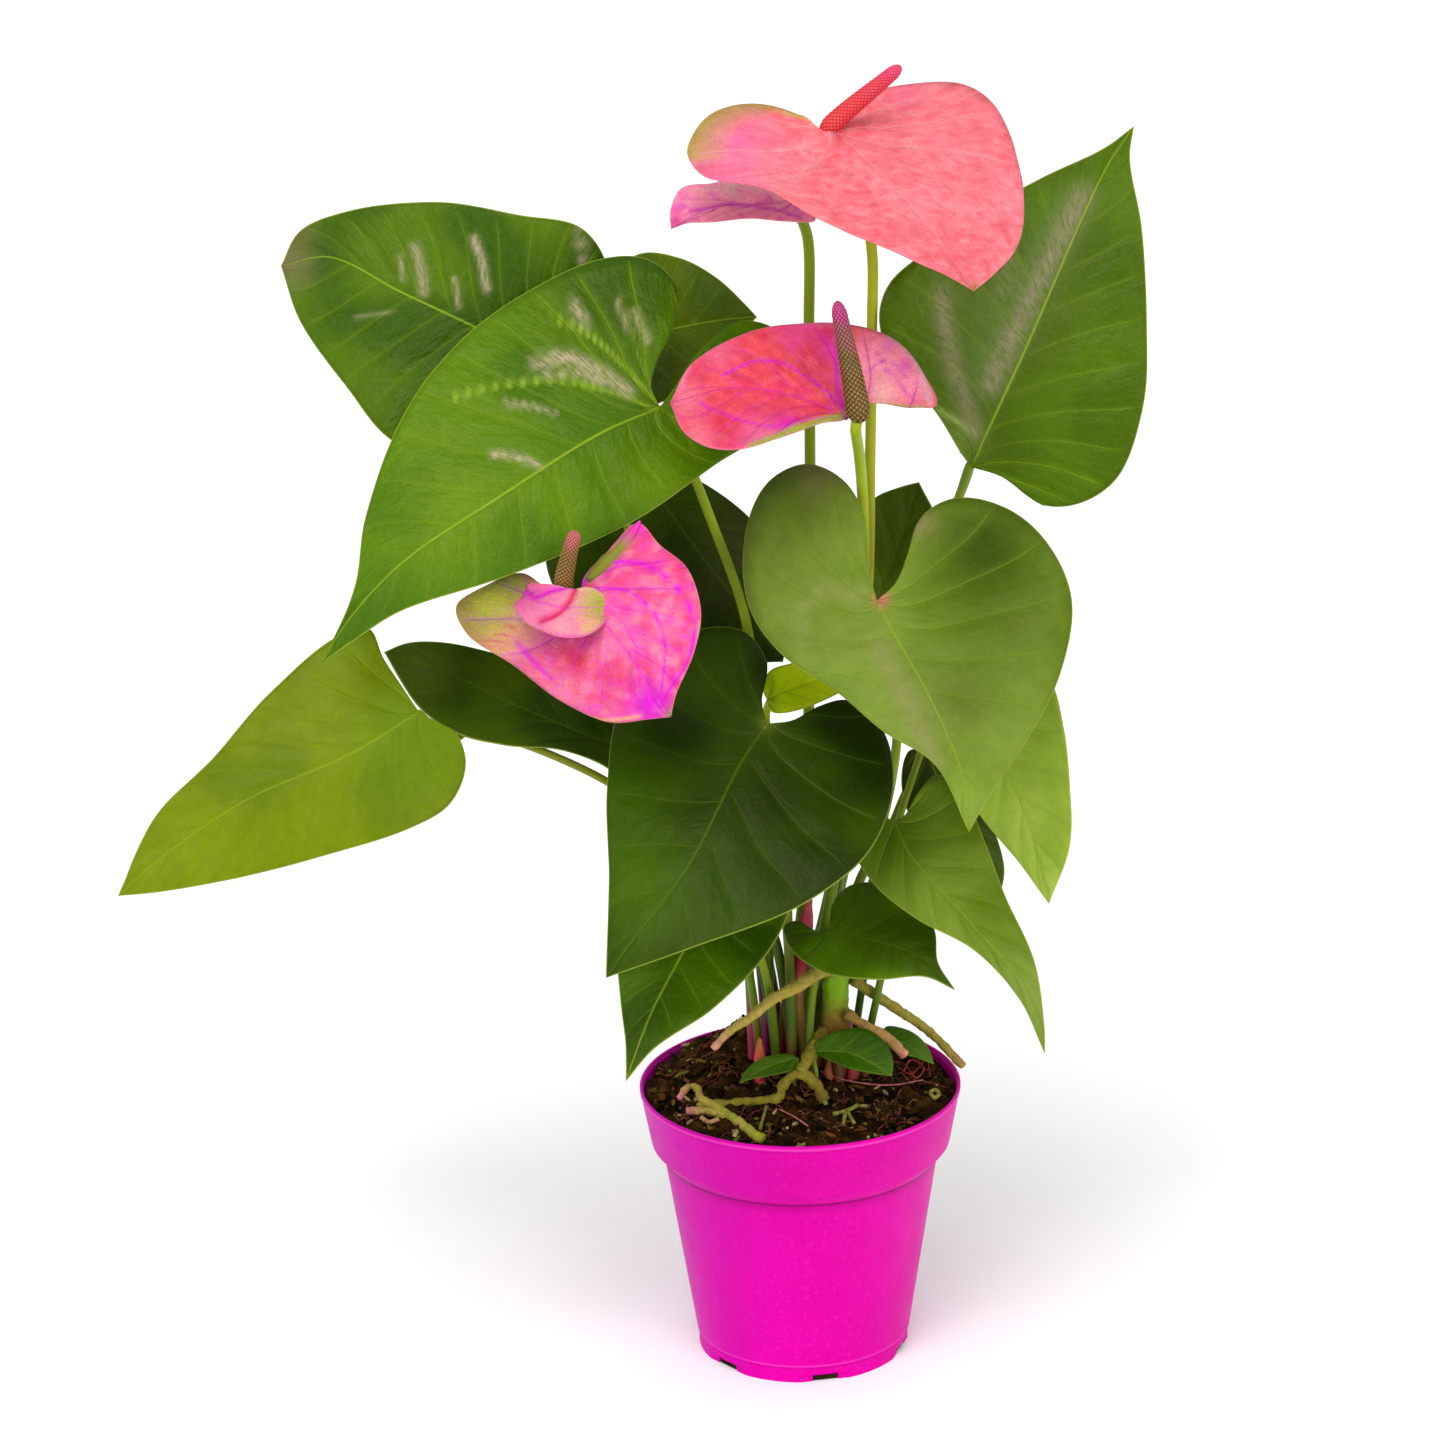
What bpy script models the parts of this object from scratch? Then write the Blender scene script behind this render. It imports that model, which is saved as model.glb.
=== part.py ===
"""A potted anthurium: leaves, blooms, crown and aerial roots over soil in a nursery pot.

Sizes are in millimetres until a mesh is made, and metres from there on. The origin is the
middle of the pot's underside. X runs right, Y runs away from the viewer and Z runs up.

Leaves and spathes are laid out as they are seen from one viewing point in front of the
plant. A guide point is (across, down, depth): its place in a square view 1445 units wide,
and how far in front of the pot's axis it lies, in millimetres.
"""

import math

import bmesh
import bpy
import numpy as np
from mathutils import Vector

MM = 0.001
MERGE_DISTANCE = 0.00002

# Pot
POT_HEIGHT = 105.0
POT_RIM_RADIUS = 60.0
POT_COLLAR_RADIUS = 56.0
POT_COLLAR_HEIGHT = 22.3
POT_STEP_RADIUS = 51.5
POT_STEP_HEIGHT = 5.0
POT_FOOT_RADIUS = 40.3
POT_FOOT_INSET = 0.7
POT_FOOT_HEIGHT = 6.5
POT_WALL = 1.2
POT_FLOOR = 1.8
POT_SIDES = 36
DRAIN_COUNT = 6
DRAIN_WIDTH = 9.6
DRAIN_HEIGHT = 3.0
DRAIN_STEP_WIDTH = 20.0
DRAIN_STEP_HEIGHT = 1.2
DRAIN_STEP_DEPTH = 4.0
DRAIN_DEPTH = 5.0
DRAIN_FIRST_ANGLE = math.radians(281)

# Soil
SOIL_EDGE_BELOW_RIM = 4.5
SOIL_MOUND_HEIGHT = 15.0
SOIL_MOUND_CENTRE = (-3.0, 4.0)
SOIL_MOUND_SPREAD = 25.0
SOIL_HUMP_HEIGHT = 10.0
SOIL_HUMP_CENTRE = (-17.0, 26.0)
SOIL_HUMP_SPREAD = 13.0
SOIL_LUMP = 1.0
SOIL_RINGS = 6
HOLE_DEPTH = 16.0
HOLE_SIDES = 8

# Fits and thicknesses
GAP = 0.3
LEAF_THICKNESS = 1.0
SPATHE_THICKNESS = 1.1
SMALL_LEAF_THICKNESS = 0.8
LOBE_BEND = 0.5
EVENING_ROUNDS = 150
STALK_SIDES = 6
STALK_SPACING = 19.0
SPADIX_SIDES = 8
SPADIX_RINGS = 13
JOINT_LEAN = 0.8

# The viewing point that guide points are seen from
VIEW_WIDTH = 1445.0
VIEW_FOCAL = 4800.0
VIEW_DISTANCE = 1800.0
VIEW_PITCH = math.radians(19.1)
VIEW_ROLL = math.radians(1.1)
RIM_CENTRE_SEEN = (800.0, 1081.5)

VIEW_FORWARD = np.array([0.0, math.cos(VIEW_PITCH), -math.sin(VIEW_PITCH)])
VIEW_RIGHT = np.array([1.0, 0.0, 0.0])
VIEW_UP = np.array([0.0, math.sin(VIEW_PITCH), math.cos(VIEW_PITCH)])


def seen_direction(across, down):
    """The direction from the viewing point through a place in the view."""
    right = across - VIEW_WIDTH / 2
    below = down - VIEW_WIDTH / 2
    level_right = right * math.cos(VIEW_ROLL) - below * math.sin(VIEW_ROLL)
    level_below = right * math.sin(VIEW_ROLL) + below * math.cos(VIEW_ROLL)
    return VIEW_FORWARD + (VIEW_RIGHT * level_right - VIEW_UP * level_below) / VIEW_FOCAL


RIM_DIRECTION = seen_direction(*RIM_CENTRE_SEEN)
RIM_DIRECTION = RIM_DIRECTION / np.linalg.norm(RIM_DIRECTION)
VIEW_POINT = np.array([0.0, 0.0, POT_HEIGHT]) - RIM_DIRECTION * VIEW_DISTANCE


def seen(across, down, depth):
    """The place, in millimetres, of a guide point."""
    ray = seen_direction(across, down)
    return VIEW_POINT + ray * ((-depth - VIEW_POINT[1]) / ray[1])


# Leaf blades. base is the notch where the stalk joins, and side is a third point of the
# blade's plane. left and right are the two edges from base to tip, and notch says how many
# points of each lie along the notch. arch bends the blade along its midrib and fold along
# its width, in millimetres. wave is the edge's wave. lobe is the share of the ribs that start
# at the base, and reach the share of each edge past the notch that they cover.
LEAVES = {
    "leaf_upper_left": {
        "base": (566, 372, -20),
        "tip": (281, 266, -52),
        "side": (440, 202, -54),
        "midrib": [(475, 327), (401, 292), (330, 257)],
        "left": [(572, 392), (560, 425), (520, 452), (455, 458), (391, 440), (348, 389), (300, 321)],
        "right": [(590, 352), (608, 310), (606, 262), (580, 227), (520, 215), (440, 202), (348, 211),
                  (300, 231)],
        "arch": 9, "fold": 5, "wave": 1.6, "lobe": 0.2, "notch": (1, 1), "ribs": 13, "steps": 3,
    },
    "leaf_big_left": {
        "base": (660, 407, 20),
        "tip": (322, 663, 80),
        "side": (505, 306, -3),
        "midrib": [(601, 433), (501, 496), (401, 564), (345, 625)],
        "left": [(651, 385), (658, 360), (674, 324), (675, 285), (650, 260), (606, 258), (530, 290),
                 (455, 346), (401, 420), (365, 520), (354, 590)],
        "right": [(674, 388), (700, 350), (741, 321), (780, 333), (793, 372), (772, 425), (715, 465),
                  (636, 520), (510, 575), (401, 611), (355, 640)],
        "arch": 8, "fold": -7, "wave": 1.2, "lobe": 0.22, "notch": (4, 3), "ribs": 14, "steps": 3,
    },
    "leaf_back_left": {
        "base": (604, 352, -57),
        "tip": (757, 317, -36),
        "side": (680, 258, -66),
        "midrib": [(655, 334), (710, 322)],
        "left": [(590, 330), (596, 290), (640, 254), (680, 258), (717, 278), (745, 304)],
        "right": [(596, 378), (620, 408), (662, 402), (700, 375), (735, 340)],
        "arch": 5, "fold": 4, "wave": 1.0, "lobe": 0.2, "notch": (1, 1), "ribs": 9, "steps": 3,
    },
    "leaf_yellow_left": {
        "base": (419, 712, 60),
        "tip": (118, 896, 82),
        "side": (283, 679, 51),
        "midrib": [(350, 754), (250, 798), (170, 851)],
        "left": [(404, 690), (383, 658), (369, 629), (335, 638), (269, 694), (213, 758), (154, 819)],
        "right": [(435, 721), (456, 733), (466, 765), (450, 804), (411, 828), (327, 855), (238, 878),
                  (160, 892)],
        "arch": 8, "fold": -5, "wave": 1.3, "lobe": 0.12, "notch": (3, 2), "ribs": 14, "steps": 3,
    },
    "leaf_dark_left": {
        "base": (652, 764, 18),
        "tip": (384, 652, 24),
        "side": (502, 745, 34),
        "midrib": [(608, 744), (561, 725), (508, 702), (461, 679)],
        "left": [(668, 778), (655, 796), (628, 788), (606, 767), (560, 750), (502, 745), (460, 735),
                 (420, 708)],
        "right": [(672, 748), (668, 720), (630, 698), (570, 678), (500, 655), (448, 643), (408, 643)],
        "arch": 3, "fold": 2, "wave": 1.2, "lobe": 0.15, "notch": (1, 1), "ribs": 12, "steps": 3,
    },
    "leaf_right_centre": {
        "base": (877, 601, 50),
        "tip": (969, 832, 104),
        "side": (749, 516, 28),
        "midrib": [(891, 628), (931, 700), (962, 774)],
        "left": [(866, 560), (864, 516), (845, 482), (808, 464), (770, 480), (747, 525), (747, 601),
                 (778, 651), (838, 693), (884, 732), (935, 765)],
        "right": [(895, 584), (907, 556), (920, 519), (955, 498), (1006, 508), (1048, 544), (1072, 600),
                  (1060, 675), (1026, 742), (992, 791)],
        "arch": 9, "fold": -8, "wave": 1.5, "lobe": 0.24, "notch": (2, 3), "ribs": 14, "steps": 3,
    },
    "leaf_front_low": {
        "base": (767, 724, 45),
        "tip": (606, 978, 114),
        "side": (858, 702, 42),
        "midrib": [(740, 765), (689, 865), (631, 943)],
        "left": [(762, 702), (767, 664), (745, 632), (706, 628), (655, 655), (618, 712), (607, 790),
                 (609, 880)],
        "right": [(791, 721), (821, 706), (852, 701), (884, 732), (893, 790), (868, 853), (800, 906),
                  (700, 945)],
        "arch": 10, "fold": -8, "wave": 1.4, "lobe": 0.22, "notch": (2, 3), "ribs": 14, "steps": 3,
    },
    "leaf_right_low": {
        "base": (895, 822, 36),
        "tip": (1045, 1054, 92),
        "side": (977, 826, 40),
        "midrib": [(908, 851), (969, 921), (1022, 985)],
        "left": [(880, 815), (862, 822), (853, 845), (871, 881), (915, 918), (975, 951), (1020, 1000)],
        "right": [(905, 815), (917, 794), (937, 775), (962, 792), (986, 845), (1008, 903), (1034, 960),
                  (1044, 1023)],
        "arch": 7, "fold": -5, "wave": 1.0, "lobe": 0.15, "notch": (2, 2), "ribs": 13, "steps": 3,
    },
    "leaf_far_right": {
        "base": (952, 655, 8),
        "tip": (1049, 904, 42),
        "side": (1064, 760, 27),
        "midrib": [(985, 730), (1024, 812)],
        "left": [(940, 668), (936, 705), (948, 755), (980, 815), (1020, 864)],
        "right": [(968, 642), (1010, 648), (1050, 680), (1064, 730), (1070, 790), (1070, 845)],
        "arch": 6, "fold": 4, "wave": 1.5, "lobe": 0.15, "notch": (1, 1), "ribs": 12, "steps": 3,
    },
    "leaf_behind_right_low": {
        "base": (925, 748, -23),
        "tip": (1001, 893, -3),
        "side": (992, 831, -14),
        "midrib": [(948, 800), (978, 850)],
        "left": [(908, 752), (902, 790), (925, 845), (965, 878)],
        "right": [(945, 742), (975, 768), (991, 820), (1004, 868)],
        "arch": 4, "fold": -2, "wave": 0.8, "lobe": 0.15, "notch": (1, 1), "ribs": 9, "steps": 3,
    },
    "leaf_low_front": {
        "base": (722, 878, 40),
        "tip": (626, 1081, 94),
        "side": (788, 917, 53),
        "midrib": [(698, 925), (651, 1014)],
        "left": [(705, 862), (668, 866), (634, 892), (618, 935), (620, 998), (626, 1045)],
        "right": [(742, 862), (775, 870), (790, 900), (771, 948), (714, 1008), (655, 1048)],
        "arch": 5, "fold": -4, "wave": 1.2, "lobe": 0.2, "notch": (1, 1), "ribs": 12, "steps": 3,
    },
    "leaf_low_right": {
        "base": (822, 934, 29),
        "tip": (955, 990, 58),
        "side": (846, 977, 44),
        "midrib": [(871, 940), (920, 957)],
        "left": [(812, 929), (797, 921), (784, 926), (790, 948), (820, 971), (875, 980), (925, 977)],
        "right": [(829, 925), (833, 903), (850, 886), (885, 884), (918, 900), (935, 931), (938, 962)],
        "arch": 4, "fold": -1, "wave": 1.2, "lobe": 0.15, "notch": (2, 2), "ribs": 12, "steps": 3,
    },
    "leaf_upper_right": {
        "base": (971, 467, -5),
        "tip": (1134, 126, -54),
        "side": (1147, 327, -30),
        "midrib": [(986, 435), (1029, 341), (1080, 223), (1108, 165)],
        "left": [(960, 452), (934, 410), (897, 372), (879, 320), (889, 284), (930, 248), (980, 212),
                 (1043, 177), (1104, 148)],
        "right": [(1002, 477), (1043, 505), (1081, 503), (1118, 477), (1144, 403), (1147, 327),
                  (1142, 229), (1130, 158)],
        "arch": 8, "fold": 7, "wave": 1.3, "lobe": 0.15, "reach": (0.03, 0.15), "notch": (1, 2),
        "ribs": 14, "steps": 3,
    },
    "leaf_behind_big_left": {
        "base": (655, 490, -33),
        "tip": (783, 662, -10),
        "side": (556, 590, -23),
        "midrib": [(690, 540), (740, 605)],
        "left": [(640, 474), (598, 474), (556, 510), (545, 556), (565, 605), (640, 645), (720, 662)],
        "right": [(675, 470), (702, 482), (748, 516), (780, 560), (792, 615)],
        "arch": 6, "fold": 4, "wave": 1.3, "lobe": 0.2, "notch": (1, 1), "ribs": 12, "steps": 3,
    },
    "leaf_behind_centre": {
        "base": (872, 645, -36),
        "tip": (919, 482, -48),
        "side": (850, 560, -44),
        "midrib": [(882, 590), (903, 530)],
        "left": [(852, 640), (838, 600), (848, 545), (872, 500), (900, 487)],
        "right": [(895, 650), (932, 630), (950, 580), (940, 525)],
        "arch": 4, "fold": 4, "wave": 0.8, "lobe": 0.15, "notch": (1, 1), "ribs": 9, "steps": 3,
    },
    "leaf_young": {
        "base": (767, 700, 15),
        "tip": (868, 672, 24),
        "side": (800, 709, 22),
        "midrib": [(808, 684), (840, 676)],
        "left": [(772, 712), (800, 709), (836, 694), (857, 681)],
        "right": [(763, 688), (770, 671), (792, 663), (826, 655), (852, 658)],
        "arch": 3, "fold": 3, "wave": 0.4, "lobe": 0.12, "notch": (1, 1), "ribs": 8, "steps": 3,
    },
    "leaf_small_right": {
        "base": (815, 1052, 20),
        "tip": (892, 1076, 32),
        "side": (846, 1029, 16),
        "midrib": [(850, 1053)],
        "left": [(813, 1046), (828, 1035), (846, 1029), (867, 1029), (884, 1041), (893, 1060)],
        "right": [(822, 1057), (852, 1069), (875, 1074)],
        "arch": 2, "fold": 2, "wave": 0.4, "lobe": 0.1, "reach": (0.1, 0.04), "notch": (1, 1),
        "ribs": 5, "steps": 2,
    },
    "leaf_small_left": {
        "base": (797, 1058, 21),
        "tip": (739, 1083, 30),
        "side": (763, 1058, 21),
        "midrib": [(770, 1066)],
        "left": [(793, 1069), (772, 1075), (751, 1079)],
        "right": [(790, 1054), (778, 1054), (760, 1059), (747, 1069)],
        "arch": 1, "fold": 1, "wave": 0.3, "lobe": 0.1, "notch": (1, 1), "ribs": 6, "steps": 2,
    },
    "leaf_small_back": {
        "base": (882, 1036, 2),
        "tip": (934, 1064, 10),
        "side": (905, 1031, -2),
        "midrib": [(905, 1044)],
        "left": [(886, 1027), (905, 1029), (920, 1038), (930, 1052)],
        "right": [(886, 1045), (905, 1054), (921, 1059)],
        "arch": 1, "fold": 1, "wave": 0.3, "lobe": 0.1, "notch": (1, 1), "ribs": 6, "steps": 2,
    },
}

# Stalks. foot is where the stalk enters the soil, as (X, depth) in millimetres. route is the
# guide points between the soil and the blade, the last one just behind the blade's base.
STALKS = {
    "leaf_upper_left": {
        "foot": (-17.5, 0.0), "radius": 1.8,
        "route": [(742, 900, -4), (715, 800, -3), (690, 720, -2), (650, 600, -3), (612, 480, -12)],
    },
    "leaf_big_left": {
        "foot": (-11.6, 0.8), "radius": 2.0,
        "route": [(768, 930, 1), (761, 800, 1), (757, 700, 0), (744, 613, -1), (711, 520, 4),
                  (688, 463, 10)],
    },
    "leaf_back_left": {
        "foot": (-7.5, -11.5), "radius": 1.6,
        "route": [(758, 900, -20), (728, 750, -38), (684, 560, -52), (640, 440, -62), (617, 382, -62)],
    },
    "leaf_yellow_left": {
        "foot": (-15.2, 6.2), "radius": 1.6,
        "route": [(745, 955, 8), (710, 870, 13), (650, 812, 20), (606, 781, 26), (542, 751, 26),
                  (500, 737, 26), (470, 731, 25), (459, 737, 28), (451, 742, 34), (441, 737, 45),
                  (430, 725, 53)],
    },
    "leaf_dark_left": {
        "foot": (-9.2, 6.6), "radius": 1.7,
        "route": [(752, 930, 3), (715, 850, 0), (685, 800, 3), (664, 775, 8)],
    },
    "leaf_right_centre": {
        "foot": (6.0, 0.0), "radius": 1.9,
        "route": [(842, 930, -2.5), (858, 885, 2), (877, 840, 9), (896, 750, 24), (896, 680, 34),
                  (886, 632, 39)],
    },
    "leaf_front_low": {
        "foot": (-3.0, 12.2), "radius": 2.0,
        "route": [(789, 950, 13), (784, 890, 15), (778, 800, 28), (770, 742, 36)],
    },
    "leaf_right_low": {
        "foot": (24.0, 5.5), "radius": 1.5,
        "route": [(878, 992, 7), (889, 940, 9), (895, 885, 13), (897, 843, 26)],
    },
    "leaf_far_right": {
        "foot": (20.2, -0.6), "radius": 1.5,
        "route": [(872, 930, 0), (893, 840, -2), (925, 740, -3), (945, 683, 0)],
    },
    "leaf_behind_right_low": {
        "foot": (13.4, -4.0), "radius": 1.4,
        "route": [(858, 930, -10), (882, 850, -20), (908, 785, -29), (920, 762, -29)],
    },
    "leaf_low_front": {
        "foot": (-9.0, 12.8), "radius": 1.7,
        "route": [(768, 985, 18), (752, 935, 25), (735, 900, 31)],
    },
    "leaf_low_right": {
        "foot": (3.2, 13.6), "radius": 1.6,
        "route": [(812, 1000, 12), (816, 975, 10.5), (822, 950, 17)],
    },
    "leaf_upper_right": {
        "foot": (6.6, -10.2), "radius": 1.9,
        "route": [(838, 900, -18), (868, 780, -24), (915, 610, -22), (945, 530, -17), (961, 492, -13)],
    },
    "leaf_behind_big_left": {
        "foot": (-12.6, -5.4), "radius": 1.7,
        "route": [(752, 900, -12), (720, 750, -28), (688, 600, -41), (665, 522, -44)],
    },
    "leaf_behind_centre": {
        "foot": (-0.4, -11.4), "radius": 1.5,
        "route": [(826, 900, -24), (850, 780, -38), (866, 690, -46), (871, 662, -44)],
    },
    "leaf_young": {
        "foot": (-6.2, 0.6), "radius": 1.5,
        "route": [(789, 930, 2), (781, 820, 5), (769, 740, 7), (766, 715, 9)],
    },
    "leaf_small_right": {
        "foot": (5.6, 19.2), "radius": 0.9,
        "route": [(814, 1062, 18.6)],
    },
    "leaf_small_left": {
        "foot": (-2.6, 20.0), "radius": 0.9,
        "route": [(799, 1066, 19.6)],
    },
    "leaf_small_back": {
        "foot": (28.0, 0.0), "radius": 0.9,
        "route": [(880, 1046, 0)],
    },
}

# Spathes, laid out as the leaves are. joint is how far the stalk's axis lies behind the
# notch. spadix is the guide point of its tip, with its radii at foot and tip.
BLOOMS = {
    "bloom_top": {
        "base": (835, 131, 2),
        "tip": (974, 291, 80),
        "side": (687, 150, 20),
        "midrib": [(868, 160), (925, 222)],
        "left": [(825, 132), (815, 125), (796, 114), (747, 104), (705, 119), (687, 153), (704, 176),
                 (761, 187), (816, 218), (882, 247), (938, 271)],
        "right": [(842, 127), (847, 114), (867, 94), (917, 83), (958, 84), (991, 102), (1012, 140),
                  (1024, 200), (1018, 245), (991, 277)],
        "arch": 4, "fold": -5, "wave": 1.4, "lobe": 0.3, "notch": (3, 3), "ribs": 14, "steps": 3,
        "spadix": (901, 66, 4), "spadix_radii": (3.7, 2.6),
        "foot": (0.6, -5.2), "radius": 2.0,
        "route": [(830, 930, -9), (852, 760, -11), (868, 585, -12), (870, 470, -12), (872, 330, -10),
                  (871, 243, -7), (853, 175, -4)],
    },
    "bloom_back": {
        "base": (800, 199, -28),
        "tip": (671, 229, 8),
        "side": (785, 222, -14),
        "midrib": [(770, 204), (715, 207)],
        "left": [(803, 208), (813, 214), (815, 221), (785, 221), (751, 218), (716, 222), (688, 223)],
        "right": [(803, 187), (815, 182), (836, 176), (838, 160), (805, 152), (755, 163), (715, 183),
                  (681, 189), (670, 212)],
        "arch": 3, "fold": -3, "wave": 1.0, "lobe": 0.2, "notch": (2, 2), "ribs": 11, "steps": 3,
        "spadix": (850, 128, -48), "spadix_radii": (3.3, 2.3),
        "foot": (-5.4, -5.8), "radius": 2.1,
        "route": [(803, 900, -12), (808, 750, -22), (810, 600, -30), (810, 450, -34), (809, 325, -37),
                  (808, 240, -37)],
    },
    "bloom_middle": {
        "base": (848, 418, 38),
        "tip": (670, 403, 46),
        "side": (813, 323, 3),
        "midrib": [(800, 398), (735, 388)],
        "left": [(840, 421), (823, 423), (785, 436), (740, 449), (706, 446), (682, 429)],
        "right": [(856, 411), (866, 404), (882, 404), (905, 407), (937, 405), (925, 377), (896, 341),
                  (849, 325), (792, 324), (739, 336), (692, 364)],
        "arch": 3, "fold": 4, "wave": 0.9, "lobe": 0.2, "reach": (0.06, 0.3), "notch": (1, 5),
        "ribs": 14, "steps": 3,
        "spadix": (837, 301, 42), "spadix_radii": (4.5, 2.8),
        "foot": (0.1, 0.2), "radius": 2.1,
        "route": [(824, 930, -1.5), (846, 800, 3), (860, 640, 6), (864, 560, 7), (863, 505, 4),
                  (860, 462, 16)],
    },
    "bloom_low_left": {
        "base": (571, 594, 66),
        "tip": (671, 717, 90),
        "side": (461, 603, 56),
        "midrib": [(600, 618), (645, 678)],
        "left": [(561, 603), (550, 596), (539, 583), (522, 573), (485, 586), (457, 606), (468, 635),
                 (513, 665), (561, 701), (610, 722), (650, 719)],
        "right": [(580, 592), (584, 578), (606, 553), (638, 523), (660, 545), (687, 568), (701, 611),
                  (694, 653), (676, 695)],
        "arch": 5, "fold": -7, "wave": 1.5, "lobe": 0.2, "notch": (3, 4), "ribs": 14, "steps": 3,
        "spadix": (575, 531, 70), "spadix_radii": (3.5, 2.5),
        "foot": (-3.4, 6.2), "radius": 1.9,
        "route": [(775, 940, 9), (742, 870, 14), (690, 775, 20), (648, 708, 16), (622, 671, 23),
                  (602, 640, 40)],
    },
}

# The front flap of the low bloom, which curls over the foot of its spadix
LOW_BLOOM_FLAP = {
    "base": (522, 597, 60),
    "tip": (610, 607, 72),
    "side": (559, 637, 74),
    "midrib": [(560, 607)],
    "left": [(528, 585), (548, 584), (572, 588), (592, 588), (605, 597)],
    "right": [(515, 606), (525, 622), (542, 631), (560, 637), (585, 636), (604, 624)],
    "arch": 9, "fold": 1, "wave": 0.4, "lobe": 0.1, "notch": (1, 1), "ribs": 9, "steps": 3,
}

# Crown: the thick short stem, as (height, radius) up its axis
CROWN_PLACE = (13.5, 7.0)
CROWN_PROFILE = [(124.5, 5.2), (130.5, 5.8), (135.5, 5.4), (137.5, 4.7), (146.5, 4.9), (154.5, 4.7),
                 (162.5, 4.4), (167.5, 2.6)]

# A new shoot in its bract, and a pointed sheath at the soil
SHOOT_FOOT = (1.4, 7.8)
SHOOT_ROUTE = [(798, 985, 8), (802, 955, 9.5), (806, 925, 11.5), (808, 908, 13), (810, 888, 14)]
SHOOT_RADII = [1.7, 1.7, 1.9, 2.8, 3.2, 2.4, 0.5]
SHEATH_FOOT = (-14.9, 13.0)
SHEATH_PROFILE = [(5.0, 2.3), (10.0, 2.1), (15.0, 1.2), (18.0, 0.4)]

# Aerial roots, by guide points, with the radius at both ends
ROOTS = {
    "root_left": {
        "route": [(833, 968, 13.0), (824, 970, 20.1), (812, 976, 22.4), (800, 985, 22.6), (775, 998, 23),
                  (751, 1017, 24), (729, 1032, 22), (714, 1048, 20)],
        "radii": (2.8, 1.3),
    },
    "root_right": {
        "route": [(853, 980, 7), (874, 994, 2.5), (895, 1008, -2), (926, 1029, -8),
                  (945, 1047, -9), (963, 1066, -9)],
        "radii": (2.1, 1.6),
    },
    "root_cut": {
        "route": [(846, 1013, 12.9), (865, 1026, 15), (886, 1037, 13), (905, 1055, 12)],
        "radii": (2.0, 1.9),
    },
}

# Roots that lie on the soil, by where they are seen
ROOT_FORK = [
    [(763, 1139), (756, 1136), (747, 1128), (735, 1119), (718, 1113), (702, 1111), (686, 1111)],
    [(737, 1120), (729, 1115), (713, 1105), (700, 1097), (698, 1089), (691, 1086), (684, 1091), (680, 1099)],
]
ROOT_FORK_RADII = [(1.9, 1.5), (1.6, 1.2)]
ROOT_ARCH = [(729, 1103), (754, 1101), (777, 1098)]
ROOT_ARCH_RISE = [(785, 1082, 24), (800, 1074, 25), (814, 1082, 25.5)]
ROOT_ARCH_END = (825, 1101)
ROOT_ARCH_RADII = (1.1, 2.0)


def smooth_curve(points, per_piece=12):
    """A dense polyline along a smooth curve through the points."""
    points = np.array(points, float)
    steps = np.linalg.norm(np.diff(points, axis=0), axis=1) ** 0.5
    slopes = np.empty_like(points)
    chord = np.diff(points, axis=0) / steps[:, None]
    slopes[0] = chord[0]
    slopes[-1] = chord[-1]
    for i in range(1, len(points) - 1):
        before, after = steps[i - 1], steps[i]
        slopes[i] = (chord[i - 1] * after + chord[i] * before) / (before + after)
    dense = []
    for i, step in enumerate(steps):
        for t in np.arange(per_piece) / per_piece:
            start = (2 * t ** 3 - 3 * t ** 2 + 1) * points[i] + (t ** 3 - 2 * t ** 2 + t) * step * slopes[i]
            end = (3 * t ** 2 - 2 * t ** 3) * points[i + 1] + (t ** 3 - t ** 2) * step * slopes[i + 1]
            dense.append(start + end)
    dense.append(points[-1])
    return np.array(dense)


def curve_at(points, shares):
    """Points at the given shares of the length of a smooth curve through the points."""
    dense = smooth_curve(points)
    lengths = np.concatenate([[0], np.cumsum(np.linalg.norm(np.diff(dense, axis=0), axis=1))])
    wanted = np.array(shares) * lengths[-1]
    return np.stack([np.interp(wanted, lengths, dense[:, k]) for k in range(dense.shape[1])], axis=1)


def plane_slope(base, tip, side):
    """How depth changes across and down the view on the plane through three guide points."""
    base, tip, side = (np.array(p, float) for p in (base, tip, side))
    rows = np.array([(tip - base)[:2], (side - base)[:2]])
    return np.linalg.solve(rows, np.array([tip[2] - base[2], side[2] - base[2]]))


def notch_share(points, count):
    """The share of an edge's length from the base to the last of its points in the notch."""
    dense = smooth_curve(points)
    lengths = np.concatenate([[0], np.cumsum(np.linalg.norm(np.diff(dense, axis=0), axis=1))])
    nearest = np.linalg.norm(dense - np.array(points[count], float), axis=1).argmin()
    return lengths[nearest] / lengths[-1]


def evened(grid):
    """A grid whose inner points are spread so that its lines don't fold over one another."""
    for _ in range(EVENING_ROUNDS):
        along = (grid[2:, 1:-1] - grid[:-2, 1:-1]) / 2
        out = (grid[1:-1, 2:] - grid[1:-1, :-2]) / 2
        mixed = (grid[2:, 2:] - grid[:-2, 2:] - grid[2:, :-2] + grid[:-2, :-2]) / 4
        a = (out ** 2).sum(axis=-1, keepdims=True)
        b = (along * out).sum(axis=-1, keepdims=True)
        c = (along ** 2).sum(axis=-1, keepdims=True)
        moved = a * (grid[2:, 1:-1] + grid[:-2, 1:-1]) + c * (grid[1:-1, 2:] + grid[1:-1, :-2])
        grid[1:-1, 1:-1] = (moved - 2 * b * mixed) / (2 * (a + c))
    return grid


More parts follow.
